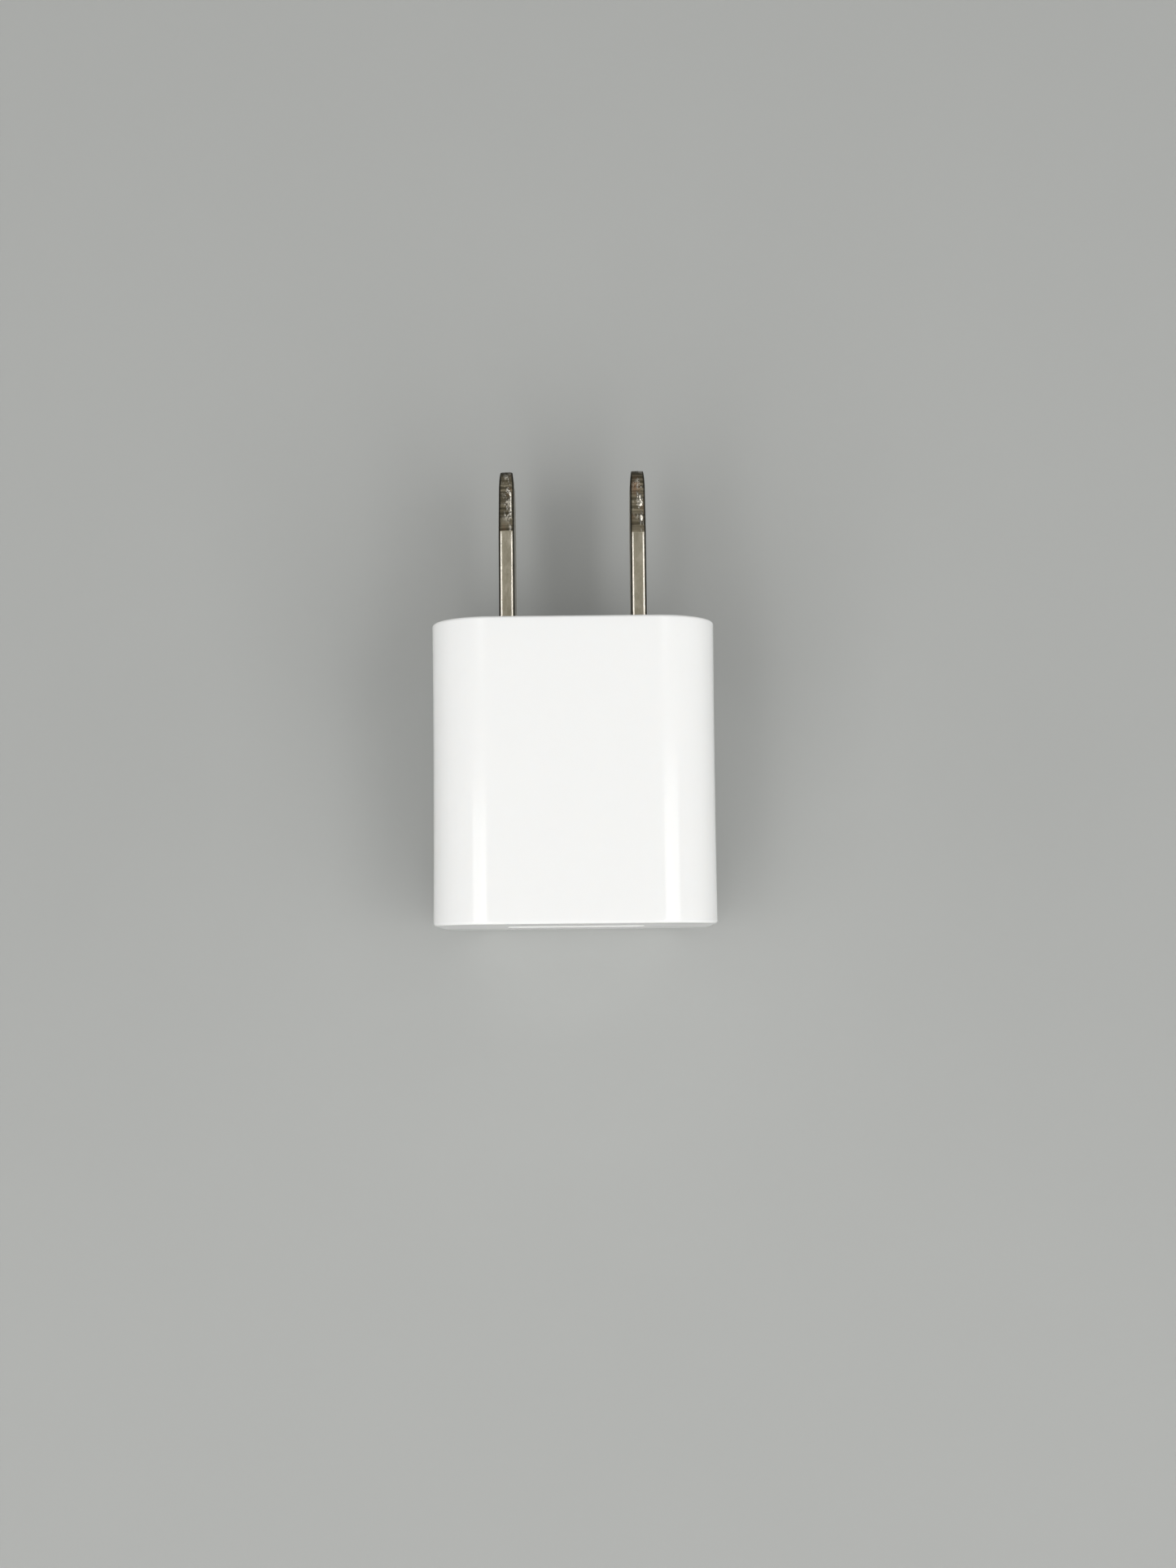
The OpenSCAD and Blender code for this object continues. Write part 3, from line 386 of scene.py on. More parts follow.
FINISH = {
    "casing": casing_plastic(),
    "blade": nickel_blade(),
    "board": circuit_board(),
    "gold_pins": gold_plate("gold_pins"),
    "port_steel": sheet_steel(),
    "port_plastic": moulded("port_plastic", (0.86, 0.865, 0.86), 0.32, IOR=1.5),
    "contact": gold_plate("gold_contact"),
    "bobbin": moulded("bobbin_resin", (0.03, 0.03, 0.03), 0.45),
    "ferrite": ferrite(),
    "copper_wire": wound_copper(),
    "tape": tape_film("yellow_tape", (0.80, 0.58, 0.10)),
    "tinned_wire": metal("tinned_wire", (0.78, 0.77, 0.74), 0.28),
    "can_sleeve": shrink_sleeve("can_sleeve", (0.035, 0.037, 0.045), (0.06, 0.065, 0.075)),
    "can_aluminium": metal("can_aluminium", (0.80, 0.80, 0.81), 0.3),
    "choke_sleeve": shrink_sleeve("choke_sleeve", (0.02, 0.02, 0.022), (0.04, 0.04, 0.042)),
    "resistor_coat": moulded("resistor_coat", (0.20, 0.31, 0.14), 0.5),
    "disc_coat": moulded("disc_coat", (0.06, 0.19, 0.55), 0.3),
    "film_box": moulded("film_box", (0.50, 0.07, 0.04), 0.28),
    "mould_black": moulded("mould_black", (0.022, 0.022, 0.024), 0.5),
    "mould_white": moulded("mould_white", (0.74, 0.74, 0.71), 0.45),
    "chip_ceramic": moulded("chip_ceramic", (0.42, 0.30, 0.19), 0.4),
    "film_sheet": tape_film("film_sheet", (0.82, 0.76, 0.60)),
    "solder": metal("solder", (0.76, 0.77, 0.78), 0.22),
}


# ---------------------------------------------------------------- mesh helpers

SHARP = 34                        # degrees; an edge that bends more is kept crisp
BEVEL_FROM = 35                   # degrees; an edge that bends more is softened
WELD, TINY_EDGE = 0.000001, 0.0000005  # metres; points nearer than this are joined


def ring(w, h, r, rz=None, arc=14, flat=8):
    """Rounded rectangle about the origin, anticlockwise, with the same point count for any size.

    r is the corner's reach along the first axis and rz along the second, the same unless given."""
    rz = r if rz is None else rz
    pts = []
    for k, (sx, sz) in enumerate(((1, 1), (-1, 1), (-1, -1), (1, -1))):
        cx, cz = sx * (w / 2 - r), sz * (h / 2 - rz)
        for i in range(arc + 1):
            t = math.radians(90 * k + 90 * i / arc)
            pts.append((cx + r * math.cos(t), cz + rz * math.sin(t)))
        nx, nz = ((-1, 1), (-1, -1), (1, -1), (1, 1))[k]
        t = math.radians(90 * (k + 1))
        a, b = pts[-1], (nx * (w / 2 - r) + r * math.cos(t), nz * (h / 2 - rz) + rz * math.sin(t))
        for i in range(1, flat):
            f = 0.5 - 0.5 * math.cos(math.pi * i / flat)
            pts.append((a[0] + (b[0] - a[0]) * f, a[1] + (b[1] - a[1]) * f))
    return pts


def loft(name, rings, closed=False, caps=False, mid=(0, MID_Z), sharp=SHARP):
    """Skin through rings [(y, [(x, z)])] about mid; closed joins the last ring to the first."""
    rows = [[(mid[0] + a, y, mid[1] + b) for a, b in pts] for y, pts in rings]
    return skin(name, rows, closed, caps, sharp)


def skin(name, points, closed=False, caps=True, sharp=SHARP):
    """Skin through rows of points (x, y, z)."""
    bm = bmesh.new()
    rows = [[bm.verts.new((x * MM, yy(y), z * MM)) for x, y, z in row] for row in points]
    n = len(rows[0])
    pairs = list(zip(rows, rows[1:])) + ([(rows[-1], rows[0])] if closed else [])
    for one, two in pairs:
        for i in range(n):
            j = (i + 1) % n
            bm.faces.new((one[i], one[j], two[j], two[i]))
    if caps:
        bm.faces.new(list(reversed(rows[0])))
        bm.faces.new(rows[-1])
    bmesh.ops.recalc_face_normals(bm, faces=bm.faces)
    return finish_mesh(name, bm, sharp)


def finish_mesh(name, bm, sharp):
    """bmesh to object, smooth shaded, edges sharper than the angle kept crisp by weighted normals."""
    for f in bm.faces:
        f.smooth = True
    limit = math.radians(sharp)
    for e in bm.edges:
        if len(e.link_faces) == 2 and e.calc_face_angle(0) > limit:
            e.smooth = False
    me = bpy.data.meshes.new(name)
    bm.to_mesh(me)
    bm.free()
    ob = bpy.data.objects.new(name, me)
    bpy.context.scene.collection.objects.link(ob)
    w = ob.modifiers.new("even_normals", "WEIGHTED_NORMAL")
    w.keep_sharp = True
    w.weight = 100
    return ob


def combined(ob, others, operation, sharp=SHARP):
    """Union or difference of a piece and helper solids, which are then removed."""
    name = ob.name
    ob.modifiers.clear()
    for other in others:
        b = ob.modifiers.new("combine", "BOOLEAN")
        b.object, b.operation, b.solver = other, operation, "EXACT"
    bm = bmesh.new()
    bm.from_object(ob, bpy.context.evaluated_depsgraph_get())
    bmesh.ops.dissolve_degenerate(bm, dist=TINY_EDGE, edges=bm.edges)
    for old in [ob] + others:
        bpy.data.objects.remove(old)
    return finish_mesh(name, bm, sharp)


def box(x0, x1, y0, y1, z0, z1):
    """Helper solid between two corners, for combined()."""
    return skin("helper", [[(x0, y, z0), (x1, y, z0), (x1, y, z1), (x0, y, z1)] for y in (y0, y1)])


def soften(ob, width):
    """Small bevel on every crisp edge, then even normals."""
    b = ob.modifiers.new("soft_edges", "BEVEL")
    b.width, b.segments = width * MM, 2
    b.limit_method = "ANGLE"
    b.angle_limit = math.radians(BEVEL_FROM)
    ob.modifiers.new("even_bevel", "WEIGHTED_NORMAL").keep_sharp = True
    return ob


def turned(name, profile, x, z, segments, mark=None):
    """Body of revolution along Y from [(radius, y)]; mark(u, v, y) is how far a point is pushed along Y."""
    rows = []
    for r, y in profile:
        row = []
        for i in range(segments):
            t = 2 * math.pi * i / segments
            u, v = max(r, 0.01) * math.cos(t), max(r, 0.01) * math.sin(t)
            row.append((x + u, y + (mark(u, v, y) if mark else 0.0), z + v))
        rows.append(row)
    return skin(name, rows)


def place(ob, body, slot, *nodes):
    """Material, body, slot and the CAD nodes that the piece stands for."""
    ob.data.materials.clear()
    ob.data.materials.append(FINISH[slot])
    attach(ob, body)
    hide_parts(*nodes)
    return ob


# ---------------------------------------------------------------- casing

EDGE_R, CORNER_R = 0.25, 5.6      # rounding of the end edges and of the long corners
EDGE_STEPS, WALL_STEPS = 7, 24
WAIST = 0.05                      # inward draw of the long walls at mid length
FRONT, FRONT_INSIDE = 1.0, 1.6    # wall at the port's mouth, and where the cavity starts
CAVITY, CAVITY_R = 22.8, 3.8      # inner width and height, and their corner
MOUTH_W, MOUTH_H, MOUTH_R, CHAMFER = 12.8, 5.4, 0.4, 0.3
SHELL_SEAT = (13.2, 5.82, 0.65)   # pocket for the port's shell: width, height, corner
COVER_SEAT, COVER_SEAT_R, COVER_SEAT_Y = BODY - 2.4, 4.4, 26.2
BAR_START, BAR_SINK = 1.5, 0.2    # where the inner bars start, and how deep they are set in the wall
RAIL_REACH, RAIL_END, RAIL_T = 0.9, 17.0, 0.8
RAIL_Z = (10.32, 8.40)            # undersides of the rails above and below the secondary board
RIB_REACH, RIB_END, RIB_T = 0.6, 23.15, 1.2
RIB_OFF = 7                       # the ribs' middles above and below the casing's


def wall_size(y):
    """Outer width of the casing at y; the long walls are drawn in a little at mid length."""
    u = (y - BODY_L / 2) / (BODY_L / 2)
    return BODY - 2 * WAIST * (1 - u * u)


def rounded_edge(y, inward):
    """Rings of the edge between the end face at y and the long walls; inward is the way into the body."""
    rings = []
    for i in range(EDGE_STEPS + 1):
        t = math.pi / 2 * i / EDGE_STEPS
        inset = EDGE_R * (1 - math.sin(t))
        size = BODY - 2 * inset
        rings.append((y + inward * EDGE_R * (1 - math.cos(t)), size, size, CORNER_R - inset))
    return rings if inward > 0 else rings[::-1]


def mouth(y, grow):
    """Ring of the port's mouth at y, larger by grow on every side."""
    return y, MOUTH_W + 2 * grow, MOUTH_H + 2 * grow, MOUTH_R + grow


def square(y, size, corner):
    """Ring with equal sides."""
    return y, size, size, corner


def inner_bar(side, reach, end, z0, z1):
    """Bar along the inside of a side wall."""
    xs = sorted((side * (CAVITY / 2 - reach), side * (CAVITY / 2 + BAR_SINK)))
    return box(*xs, BAR_START, end, z0, z1)


def casing():
    """One closed skin: out through the port's mouth, along the outside, and back along the cavity.

    Rows close to a corner keep the shading of the flats beside it even."""
    rows = [mouth(FRONT, 0), mouth(0.6, 0), mouth(CHAMFER + 0.03, 0), mouth(CHAMFER - 0.02, 0.02),
            mouth(0.03, CHAMFER - 0.03), mouth(0.0, CHAMFER + 0.02)]
    rows += rounded_edge(0.0, 1)
    for i in range(1, WALL_STEPS):
        y = EDGE_R + (BODY_L - 2 * EDGE_R) * i / WALL_STEPS
        rows.append(square(y, wall_size(y), CORNER_R))
    rows += rounded_edge(BODY_L, -1)
    rows += [square(BODY_L, COVER_SEAT + 0.16, COVER_SEAT_R + 0.08),
             square(BODY_L - 0.08, COVER_SEAT, COVER_SEAT_R),
             square(COVER_SEAT_Y, COVER_SEAT, COVER_SEAT_R), square(COVER_SEAT_Y, CAVITY, CAVITY_R),
             square(FRONT_INSIDE, CAVITY, CAVITY_R), (FRONT_INSIDE, *SHELL_SEAT), (FRONT, *SHELL_SEAT)]
    ob = loft("casing_shell", [(y, ring(w, h, r)) for y, w, h, r in rows], closed=True)
    bars = []
    for side in (-1, 1):
        for low in RAIL_Z:
            bars.append(inner_bar(side, RAIL_REACH, RAIL_END, low, low + RAIL_T))
        for z in (MID_Z - RIB_OFF, MID_Z + RIB_OFF):
            bars.append(inner_bar(side, RIB_REACH, RIB_END, z - RIB_T / 2, z + RIB_T / 2))
    place(combined(ob, bars, "UNION"), ROOT, "casing", "main_shell")


casing()


# ---------------------------------------------------------------- blades

SIDE_CROWN = (0.45, 0.15)         # reach across and drop of the crowned narrow sides
TAIL_START, TAIL_END, TAIL_T, TAIL_W = 22.5, 25.6, 1.1, 2.4
STRAIGHT_STEP, STRAIGHT_ROWS = 0.4, 26
NOSE_STEP, NOSE_ROWS, TIP_ROWS = 0.08, 62, 14
THINNER = 0.08                    # loss of thickness along the nose
TIP_THINNER, TIP_REACH = 0.28, 2.0    # further loss towards the tip, and how far back it starts
MILLED = 0.014                    # how much lower the milled faces lie
MILL_DEPTH, MILL_PITCH, DENT_DEPTH = 0.008, 0.42, 0.03
BLADE_SHARP = 12                  # degrees


def nose_height(y, nose):
    """Width of the blade in Z at y from the port face: straight, tapered nose, round corners at the tip."""
    start = TIP - nose
    slope = (BLADE_W - NOSE_W) / 2 / nose
    stretch = math.sqrt(1 + slope * slope)
    cy = TIP - NOSE_R
    cz = BLADE_W / 2 - slope * (cy - start) - NOSE_R * stretch
    if y <= start:
        return BLADE_W
    if y < cy + NOSE_R * slope / stretch:
        return 2 * (BLADE_W / 2 - slope * (y - start))
    return 2 * (cz + math.sqrt(max(NOSE_R ** 2 - (y - cy) ** 2, 0)))


def nose_thickness(y, nose):
    """Thickness of the blade at y: even, then slowly thinner along the nose and quickly so near the tip."""
    along = max(0.0, y - (TIP - nose)) / nose
    near = max(0.0, y - (TIP - TIP_REACH)) / TIP_REACH
    return BLADE_T - THINNER * along - TIP_THINNER * near ** 2


def mill_nose(ob, start, seed, nose):
    """Lower the narrow sides of the nose a little, with cutter marks and shallow dents."""
    for v in ob.data.vertices:
        y = v.co.y / MM + TOTAL / 2
        if y <= start + 0.05:
            continue
        face = abs(v.co.z / MM - MID_Z) / (nose_height(min(y, TIP - 0.001), nose) / 2)
        if face < 0.9:
            continue
        q = Vector((v.co.x / MM * 1.1 + seed, y * 2.6, seed))
        mill = MILL_DEPTH * math.sin(y * 2 * math.pi / MILL_PITCH + 0.9 * noise.noise(q))
        dent = DENT_DEPTH * min(0.0, noise.noise(q * 0.9) + 0.12)
        v.co.z -= math.copysign((MILLED + mill - dent) * MM, v.co.z - MID_Z * MM)


def blade(name, x, seed, nose):
    """One blade: a soldering tail, a straight part with softly crowned narrow sides, and a milled nose."""
    start = TIP - nose
    rows = [(y, ring(TAIL_T, TAIL_W, 0.1)) for y in (TAIL_START, TAIL_END)]
    rows += [(TAIL_END, ring(BLADE_T - 0.2, BLADE_W - 0.2, 0.3)),
             (TAIL_END + 0.1, ring(BLADE_T, BLADE_W, *SIDE_CROWN))]
    ys = [BODY_L + STRAIGHT_STEP * (i - 1) for i in range(STRAIGHT_ROWS)] + [start - 0.02, start + 0.02]
    ys += [start + NOSE_STEP * (i + 1) for i in range(NOSE_ROWS)]
    ys += [TIP - NOSE_R + NOSE_R * math.sin(math.pi / 2 * i / TIP_ROWS) for i in range(1, TIP_ROWS)]
    for y in sorted(v for v in ys if v < TIP - 0.01):
        rows.append((y, ring(nose_thickness(y, nose), nose_height(y, nose), *SIDE_CROWN)))
    rows.append((TIP, [(a * 0.9, b * 0.96) for a, b in rows[-1][1]]))  # flat end, eased all round
    ob = loft(name + "_piece", rows, caps=True, mid=(x, MID_Z), sharp=BLADE_SHARP)
    mill_nose(ob, start, seed, nose)
    place(ob, ROOT, "blade", name)


blade("blade_left", -PITCH / 2, 3.1, NOSE_L)
blade("blade_right", PITCH / 2, 8.7, NOSE_L + LONGER)


# ---------------------------------------------------------------- port

SHEET = 0.3                       # thickness of the shell and the fingers
PORT_START, PORT_END = 1.05, 15.05
SHELL_W, SHELL_H, SHELL_R = 13.1, 5.72, 0.45
SHELL_SHARP = 30                  # degrees
LEG_Y, LEG_HALF, LEG_TIP_HALF = (4.2, 11.6), 0.6, 0.34
LEG_TAPER_Z, LEG_FOOT_Z = 9.6, 8.83
FINGER_X, FINGER_W = 3.0, 1.5
WINDOW_Y, WINDOW_W, WINDOW_R = (3.9, 10.57), 2.1, 0.3
CONTACT_X, CONTACT_W, CONTACT_T = (-3.5, -1.0, 1.0, 3.5), 1.0, 0.25
# y and height: of a finger from the middle of the sheet, of a contact from the tongue's underside
FINGER_LINE = ((10.4, 0), (9.4, 0), (5.9, -0.55), (5.3, -0.55), (4.2, -0.3))
CONTACT_LINE = ((11.2, 0.58), (10.2, 0.58), (4.9, -0.325), (4.3, -0.325), (3.1, 0.25))
TONGUE_Z, TONGUE_Y, TONGUE_W = (13.22, 15.06), (2.4, 12.0), 11.1
# depth behind the tongue's front, narrower by, lower by, corner
TONGUE_NOSE = ((0.0, 0.5, 0.66, 0.2), (0.05, 0.3, 0.4, 0.22), (0.14, 0.12, 0.18, 0.2),
               (0.28, 0.03, 0.04, 0.14), (0.4, 0.0, 0.0, 0.1))
CHANNEL_W, CHANNEL_DEPTH = 1.3, 1.15  # room for a contact, up from the tongue's underside
SLOT_W, SLOT_LOW, SLOT_HIGH = 1.04, 0.435, 0.725  # way through the block for a contact's fixed half
BLOCK_W, BLOCK_H = 12.4, 5.02
EASE_STEPS = 5                    # rows in each half-round end of a spring strip
STRIP_SHARP, STRIP_BEND, STRIP_EDGE = 40, 0.8, 0.07  # degrees, bend radius, corner of the section


def half_round(y, toward, steps=6):
    """Offsets across the sheet and Y of a half-round sheet edge at y; toward is the way into the sheet."""
    h = SHEET / 2
    for i in range(steps + 1):
        t = math.pi * i / steps
        yield -toward * h * math.cos(t), y + toward * h * (1 - math.sin(t))


def shell_window(x):
    """Cutter for the windows of the fingers above and below at x."""
    start, end = WINDOW_Y
    opening = ring(WINDOW_W, end - start, WINDOW_R, arc=6, flat=2)
    outline = [(x + a, (start + end) / 2 + b) for a, b in opening]
    return skin("helper", [[(a, b, z) for a, b in outline] for z in (MID_Z - 5, MID_Z + 5)])


def shell_leg(side, y):
    """Leg down from the shell's side wall, tapered to its soldered foot."""
    x0, x1 = sorted((side * (SHELL_W / 2 - SHEET), side * SHELL_W / 2))
    rows = []
    for z, half in ((MID_Z - 1, LEG_HALF), (LEG_TAPER_Z, LEG_HALF), (LEG_FOOT_Z, LEG_TIP_HALF)):
        rows.append([(x0, y - half, z), (x1, y - half, z), (x1, y + half, z), (x0, y + half, z)])
    return skin("helper", rows)


def port_shell():
    """Folded steel shell with a rounded mouth, four finger windows and four legs."""
    edges = list(half_round(PORT_START, 1)) + list(half_round(PORT_END, -1))
    w, h = SHELL_W - SHEET, SHELL_H - SHEET
    rows = [(y, ring(w + 2 * o, h + 2 * o, SHELL_R + o, arc=8, flat=3)) for o, y in edges]
    ob = loft("port_shell", rows, closed=True, sharp=SHELL_SHARP)
    windows = [shell_window(x) for x in (-FINGER_X, FINGER_X)]
    ob = combined(ob, windows, "DIFFERENCE", SHELL_SHARP)
    legs = [shell_leg(side, y) for side in (-1, 1) for y in LEG_Y]
    ob = combined(ob, legs, "UNION", SHELL_SHARP)
    place(soften(ob, 0.02), ROOT, "port_steel", "usb_shell")


def tongue():
    """Moulded tongue with four contact channels under it, on the block that closes the port's rear."""
    (z0, z1), (y0, y1) = TONGUE_Z, TONGUE_Y
    w, h = TONGUE_W, z1 - z0
    rows = [(y0 + depth, w - less_w, h - less_h, r) for depth, less_w, less_h, r in TONGUE_NOSE]
    rows.append((y1 + 0.5, w, h, 0.1))
    ob = loft("port_tongue", [(y, ring(a, b, r, arc=6, flat=4)) for y, a, b, r in rows], caps=True,
              mid=(0, (z0 + z1) / 2))
    block = [(y1, BLOCK_W - 0.2, BLOCK_H - 0.2, 0.2), (y1 + 0.1, BLOCK_W, BLOCK_H, 0.3),
             (PORT_END - 0.1, BLOCK_W, BLOCK_H, 0.3), (PORT_END, BLOCK_W - 0.2, BLOCK_H - 0.2, 0.2)]
    back = loft("helper", [(y, ring(a, b, r, arc=6, flat=4)) for y, a, b, r in block], caps=True)
    ob = combined(ob, [back], "UNION")
    cuts = []
    for x in CONTACT_X:
        cuts.append(box(x - CHANNEL_W / 2, x + CHANNEL_W / 2, y0 + 0.4, y1, z0 - 1, z0 + CHANNEL_DEPTH))
        cuts.append(box(x - SLOT_W / 2, x + SLOT_W / 2, y1 - 0.01, PORT_END + 1,
                        z0 + SLOT_LOW, z0 + SLOT_HIGH))
    ob = combined(ob, cuts, "DIFFERENCE")
    place(soften(ob, 0.04), ROOT, "port_plastic", "usb_insulator")


def filleted(path, radius, steps=5):
    """Points of a bent line with its corners rounded to about the radius."""
    path = [Vector(p) for p in path]
    out = [path[0]]
    for a, b, c in zip(path, path[1:], path[2:]):
        u, v = (a - b).normalized(), (c - b).normalized()
        reach = min(radius / math.tan(u.angle(v) / 2), 0.45 * min((a - b).length, (c - b).length))
        p, q = b + u * reach, b + v * reach
        for i in range(steps + 1):
            t = i / steps
            out.append(p.lerp(b, t).lerp(b.lerp(q, t), t))
    return out + [path[-1]]


def strip(name, path, x, wide, thick):
    """Spring strip along [(y, z)] with eased bends, half-round ends and softened long edges."""
    line = filleted(path, STRIP_BEND)
    head = (line[1] - line[0]).normalized()
    foot = (line[-2] - line[-1]).normalized()
    eased = [thick / 2 * (1 - math.cos(math.pi / 2 * k / EASE_STEPS)) for k in range(EASE_STEPS + 1)]
    line = [line[0] + head * e for e in eased] + line[1:-1] + [line[-1] + foot * e for e in reversed(eased)]
    narrow = [math.sin(math.pi / 2 * max(k, 0.6) / EASE_STEPS) for k in range(EASE_STEPS + 1)]
    scale = narrow + [1.0] * (len(line) - 2 * len(narrow)) + list(reversed(narrow))
    rows = []
    for i, p in enumerate(line):
        d = (line[min(i + 1, len(line) - 1)] - line[max(i - 1, 0)]).normalized()
        n = Vector((-d.y, d.x))
        section = ring(wide - 0.1 * (1 - scale[i]), thick, STRIP_EDGE, arc=4, flat=2)
        rows.append([(x + a, p.x + n.x * b * scale[i], p.y + n.y * b * scale[i]) for a, b in section])
    return skin(name, rows, sharp=STRIP_SHARP)


def port():
    """Shell and tongue, with each contact and finger strip on the body that its joint turns."""
    port_shell()
    tongue()
    for i, x in enumerate(CONTACT_X, 1):
        line = [(y, TONGUE_Z[0] + z) for y, z in CONTACT_LINE]
        ob = strip(f"contact_{i}_strip", line, x, CONTACT_W, CONTACT_T)
        place(ob, f"contact_{i}", "contact", f"contact_spring_{i}")
    for up, row in ((1, "top"), (-1, "bottom")):
        line = [(y, MID_Z + up * (z + (SHELL_H - SHEET) / 2)) for y, z in FINGER_LINE]
        for x, side in ((-FINGER_X, "left"), (FINGER_X, "right")):
            ob = strip(f"finger_{row}_{side}_strip", line, x, FINGER_W, SHEET)
            place(ob, f"finger_{row}_{side}", "port_steel", f"shell_finger_{row}_{side}")


port()


# ---------------------------------------------------------------- electronics

# piece, node, slot, x, z, diameter, front end, length
CANS = (
    ("bulk_can_lower", "bulk_capacitor_lower", "can_sleeve", -7.3, 5.35, 6.3, 11.9, 11),
    ("bulk_can_upper", "bulk_capacitor_upper", "can_sleeve", 6.3, 20.35, 8, 10.9, 12),
    ("output_can_left", "output_capacitor_left", "can_aluminium", -7.5, 20.55, 6.3, 2.6, 8),
    ("output_can_right", "output_capacitor_right", "can_aluminium", -1.125, 20.55, 6.3, 2.6, 8),
)
CAN_ROLL = 0.25                   # radius of the rolled front edge, and depth of the crimp
DISH = 0.10                       # depth of the can's end below its rolled edge
SCORE_DEPTH, SCORE_HALF = 0.07, 0.2   # the score's depth and half width
TURN_STEPS = 6                    # rows to one turn of wire


def can(name, node, slot, x, z, d, start, length):
    """Capacitor can along Y: rolled front edge, dished end with a scored cross, crimp near the base."""
    r, end = d / 2, start + length
    face = [(r * f, start + DISH) for f in (0.0, 0.06, 0.14, 0.24, 0.34, 0.44, 0.54, 0.64, 0.72)]
    face += [(r - 0.62, start + DISH), (r - 0.55, start + 0.04), (r - 0.48, start + 0.005)]
    turns = [math.pi / 2 * k / 6 for k in range(7)]
    roll = [(r - CAN_ROLL * (1 - math.sin(t)), start + CAN_ROLL * (1 - math.cos(t))) for t in turns]
    crimp = [(r - CAN_ROLL * math.sin(math.pi * k / 8) ** 2, end - 1.0 + 0.55 * k / 8) for k in range(9)]
    base = [(r, end - 0.12), (r - 0.04, end - 0.04), (r - 0.12, end), (0.0, end)]

    def score(u, v, y):
        if y > start + 0.2 or math.hypot(u, v) > 0.7 * r:
            return 0.0
        return SCORE_DEPTH * max(0.0, 1 - min(abs(u), abs(v)) / SCORE_HALF)

    ob = turned(name, face + roll + crimp + base, x, z, 96, score)
    place(ob, ROOT, slot, node)
    ob.data.materials.append(FINISH["can_aluminium"])
    for f in ob.data.polygons:
        c = f.center
        if c.y < yy(start + 0.13) and math.hypot(c.x / MM - x, c.z / MM - z) < r - 0.5:
            f.material_index = 1


def other_end(profile, middle):
    """The profile [(radius, y)] seen from the other end of a body whose middle is given."""
    return [(r, 2 * middle - y) for r, y in reversed(profile)]


def choke():
    """Rod choke in a sleeve that is drawn in a little between its ends."""
    r, middle, waist = 2.2, 17.95, 0.09
    front = [(0.0, 13.7), (1.2, 13.7), (1.7, 13.76), (2.0, 13.9), (r, 14.3)]
    length = 2 * (middle - front[-1][1])
    side = [(r - waist * math.sin(math.pi * k / 8), front[-1][1] + length * k / 8) for k in range(1, 8)]
    ob = turned("choke_barrel", front + side + other_end(front, middle), 9.0, 13.4, 48)
    place(ob, ROOT, "choke_sleeve", "input_choke")


def resistor():
    """Dipped resistor, thicker over its two end caps."""
    cap = [(0.0, 13.4), (0.7, 13.4), (1.15, 13.5), (1.4, 13.75), (1.5, 14.15), (1.5, 14.6), (1.42, 14.95),
           (1.25, 15.3)]
    ob = turned("resistor_body", cap + other_end(cap, 17.4), -9.4, 13.6, 40)
    place(ob, ROOT, "resistor_coat", "fusible_resistor")


def disc():
    """Dipped disc capacitor, thickest in the middle."""
    half = [(0.0, 16.6), (1.5, 16.62), (2.4, 16.72), (2.9, 16.95), (3.3, 17.4), (3.47, 17.8)]
    ob = turned("disc_capacitor", half + [(3.5, 18.2)] + other_end(half, 18.2), -6.0, 20.5, 56)
    place(ob, ROOT, "disc_coat", "y_capacitor")


def coil_rows(w, h, start, length, wire, corner):
    """Rows of a layer of wire wound round a rectangular tube, one bulge for each turn."""
    count = int(length / wire) * TURN_STEPS
    for i in range(count + 1):
        y = start + length * i / count
        bulge = wire / 2 * (math.sin(math.pi * (i % TURN_STEPS) / TURN_STEPS) - 1)
        yield y, ring(w + 2 * bulge, h + 2 * bulge, corner + bulge, arc=5, flat=2)


def winding():
    """The transformer's outer layer of wire, round the bobbin's tube."""
    w, h, reach, thick, wire, middle = 3.9, 5.1, 7.8, 0.5, 0.26, 14.1
    rows = list(coil_rows(w + 2 * thick, h + 2 * thick, middle - reach / 2, reach, wire, thick))
    hole = ring(w + 0.04, h + 0.04, 0.02, arc=5, flat=2)
    rows = [(rows[0][0], hole)] + rows + [(rows[-1][0], hole)]
    ob = loft("winding_turns", rows, closed=True, mid=(4.6, 5.25), sharp=60)
    place(ob, ROOT, "copper_wire", "transformer_winding")


for row in CANS:
    can(*row)
choke()
resistor()
disc()
winding()


# ---------------------------------------------------------------- CAD nodes that keep their shape

SOFT_EDGE = 0.02                  # bevel of most nodes
SOFTER = {"end_cover": 0.08, "optocoupler": 0.06, "power_transistor": 0.06, "transformer_bobbin": 0.05}


def dress(node, slot):
    """Softened edges and the slot's material."""
    ob = frame["nodes"][node]
    ob.data.materials.clear()
    ob.data.materials.append(FINISH[slot])
    ob.modifiers.new("weld", "WELD").merge_threshold = WELD
    soften(ob, SOFTER.get(node, SOFT_EDGE))


for subpart in frame["record"]["subparts"]:
    if not frame["nodes"][subpart["node"]].hide_render:
        dress(subpart["node"], subpart["material_slot"])


# ---------------------------------------------------------------- floor, lights, camera

# Lengths are in metres from here on.
FLOOR_HALF = 0.82
AIM = Vector((0, -0.008, 0.013))  # what every light faces
LIGHT_DISTANCE, LIGHT_COLOUR = 0.9, (1.0, 0.995, 0.98)
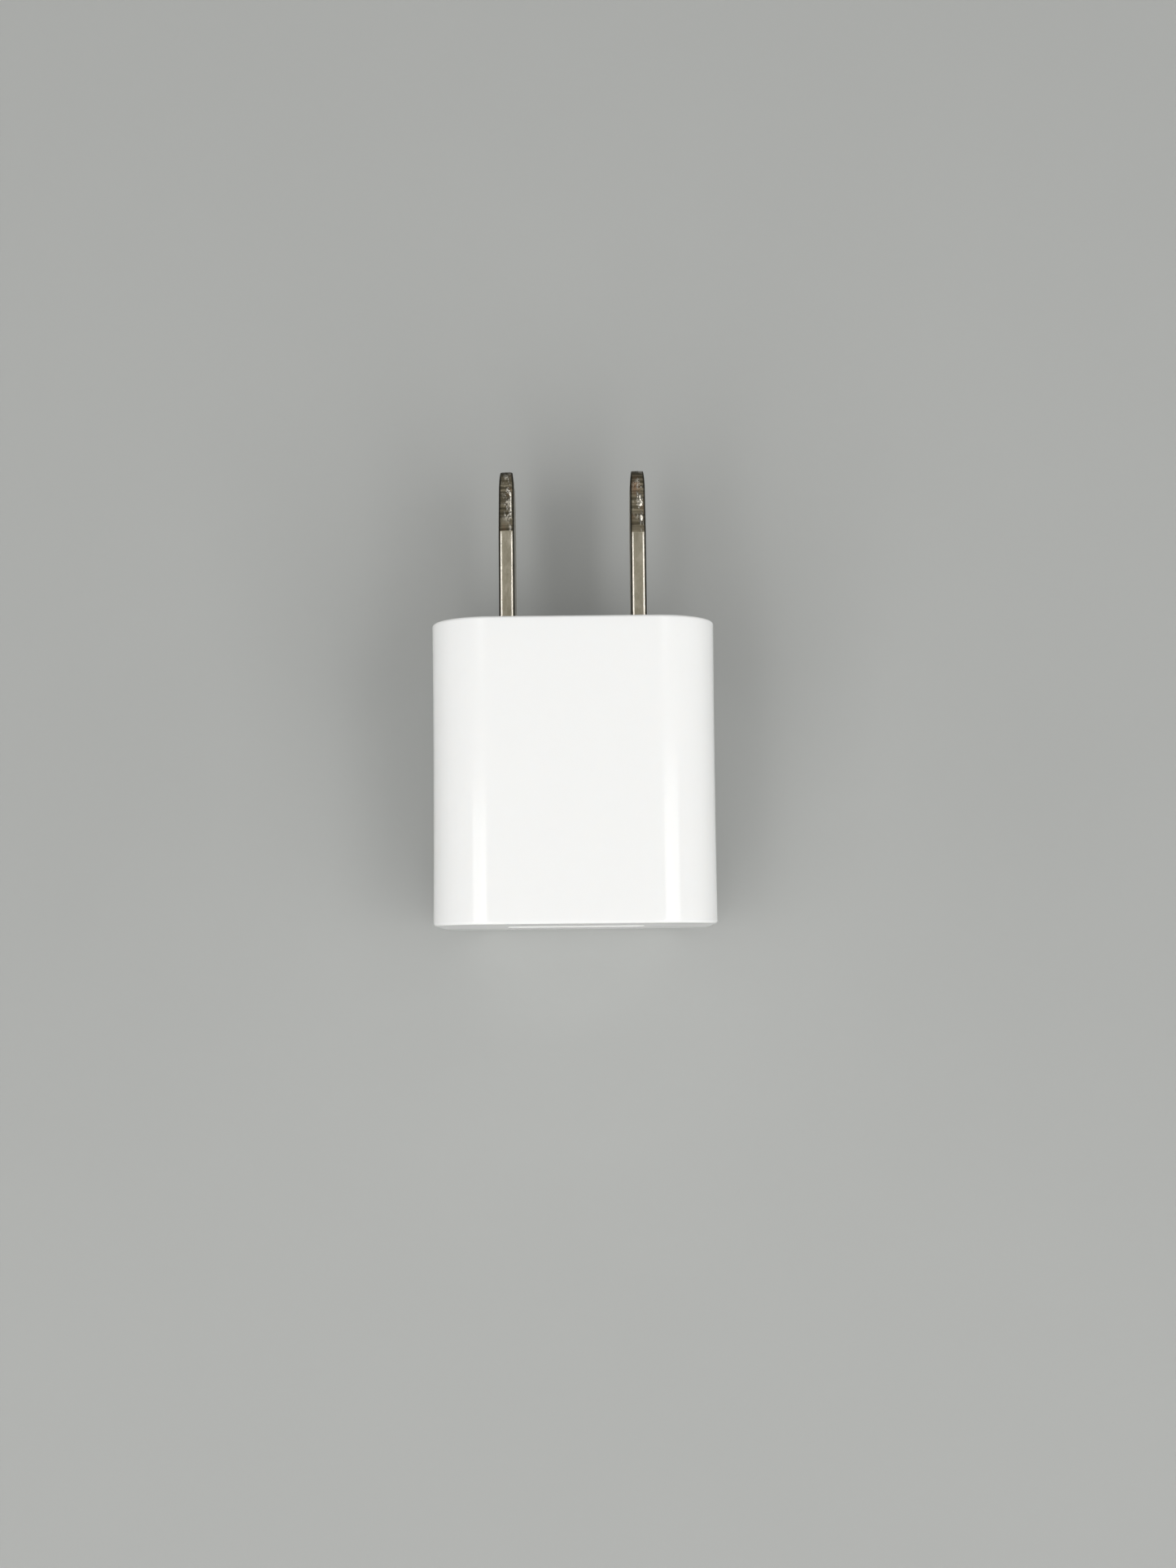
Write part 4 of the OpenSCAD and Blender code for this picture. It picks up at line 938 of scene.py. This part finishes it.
# name, tilts towards +X and +Y in degrees, width, length, power in watts, seen in glossy surfaces
LIGHTS = (
    ("left_softbox", -25, -29, 0.46, 1.08, 3.88, True),
    ("right_softbox", 29, -29, 0.50, 1.08, 3.88, True),
    ("left_strip", -17, -9, 0.12, 0.32, 0.33, True),
    ("right_strip", 24, -9, 0.14, 0.32, 0.33, True),
    ("left_fill", -76, 0, 0.6, 1.0, 2.7, False),
    ("right_fill", 76, 0, 0.6, 1.0, 2.7, False),
    ("left_glint", -20, 12.5, 0.20, 0.10, 0.12, True),
    ("right_glint", 20, 12.5, 0.20, 0.10, 0.12, True),
    ("nose_glint", 8, 31, 0.45, 0.25, 0.50, True),
)
ROOM_COLOUR = (0.97, 0.98, 0.97, 1)
ROOM_LOW, ROOM_HIGH = 0.39, 0.13  # strength at the horizon, and above it
ROOM_BLEND = 0.3                  # upward part of the view direction at which the room is as weak as it gets
CAM_LENS, CAM_SENSOR = 68.75, 36.0    # mm
CAM_AT, CAM_TURN = (0.00147, -0.02652, 0.22997), (4.796, 0.101, -0.581)


def floor():
    """Plain pale floor."""
    bm = bmesh.new()
    bmesh.ops.create_grid(bm, x_segments=8, y_segments=8, size=FLOOR_HALF)
    me = bpy.data.meshes.new("floor")
    bm.to_mesh(me)
    bm.free()
    ob = bpy.data.objects.new("floor", me)
    bpy.context.scene.collection.objects.link(ob)
    m = Mat("floor_paper", (0.405, 0.413, 0.405), 0.7)
    m.vary(0.3, 60, 0.97)
    m.bump(m.noise(500, 2), 0.00001)
    ob.data.materials.append(m.m)


def softbox(name, tilt_x, tilt_y, w, length, power, glossy):
    """Area light that faces the object; tilts are measured from the vertical."""
    d = Vector((math.tan(math.radians(tilt_x)), math.tan(math.radians(tilt_y)), 1)).normalized()
    data = bpy.data.lights.new(name, "AREA")
    data.shape = "RECTANGLE"
    data.size, data.size_y = w, length
    data.energy = power
    data.color = LIGHT_COLOUR
    ob = bpy.data.objects.new(name, data)
    ob.location = AIM + d * LIGHT_DISTANCE
    along = (Vector((0, 1, 0)) - d * d.y).normalized()
    ob.rotation_euler = Matrix((along.cross(d), along, d)).transposed().to_euler()
    ob.visible_camera = False
    ob.visible_glossy = glossy
    bpy.context.scene.collection.objects.link(ob)


def surroundings():
    """Pale room, brightest near the horizon."""
    world = bpy.data.worlds.new("studio")
    bpy.context.scene.world = world
    world.use_nodes = True
    t = world.node_tree
    coord = t.nodes.new("ShaderNodeTexCoord")
    parts = t.nodes.new("ShaderNodeSeparateXYZ")
    ramp = t.nodes.new("ShaderNodeMapRange")
    t.links.new(coord.outputs["Generated"], parts.inputs[0])
    t.links.new(parts.outputs["Z"], ramp.inputs["Value"])
    ends = (("From Min", 0.0), ("From Max", ROOM_BLEND), ("To Min", ROOM_LOW), ("To Max", ROOM_HIGH))
    for key, v in ends:
        ramp.inputs[key].default_value = v
    back = t.nodes["Background"]
    back.inputs["Color"].default_value = ROOM_COLOUR
    t.links.new(ramp.outputs[0], back.inputs["Strength"])


def camera():
    """The photo's own view, from a fit with the blade pitch and the port's width as known sizes."""
    cam = bpy.data.objects.new("camera", bpy.data.cameras.new("camera"))
    cam.data.sensor_fit = "HORIZONTAL"
    cam.data.sensor_width = CAM_SENSOR
    cam.data.lens = CAM_LENS
    cam.data.clip_start = 0.01
    cam.location = CAM_AT
    cam.rotation_euler = tuple(math.radians(a) for a in CAM_TURN)
    bpy.context.scene.collection.objects.link(cam)
    bpy.context.scene.camera = cam


floor()
for row in LIGHTS:
    softbox(*row)
surroundings()
camera()

view = bpy.context.scene.view_settings
view.view_transform = "Standard"
view.look = "None"
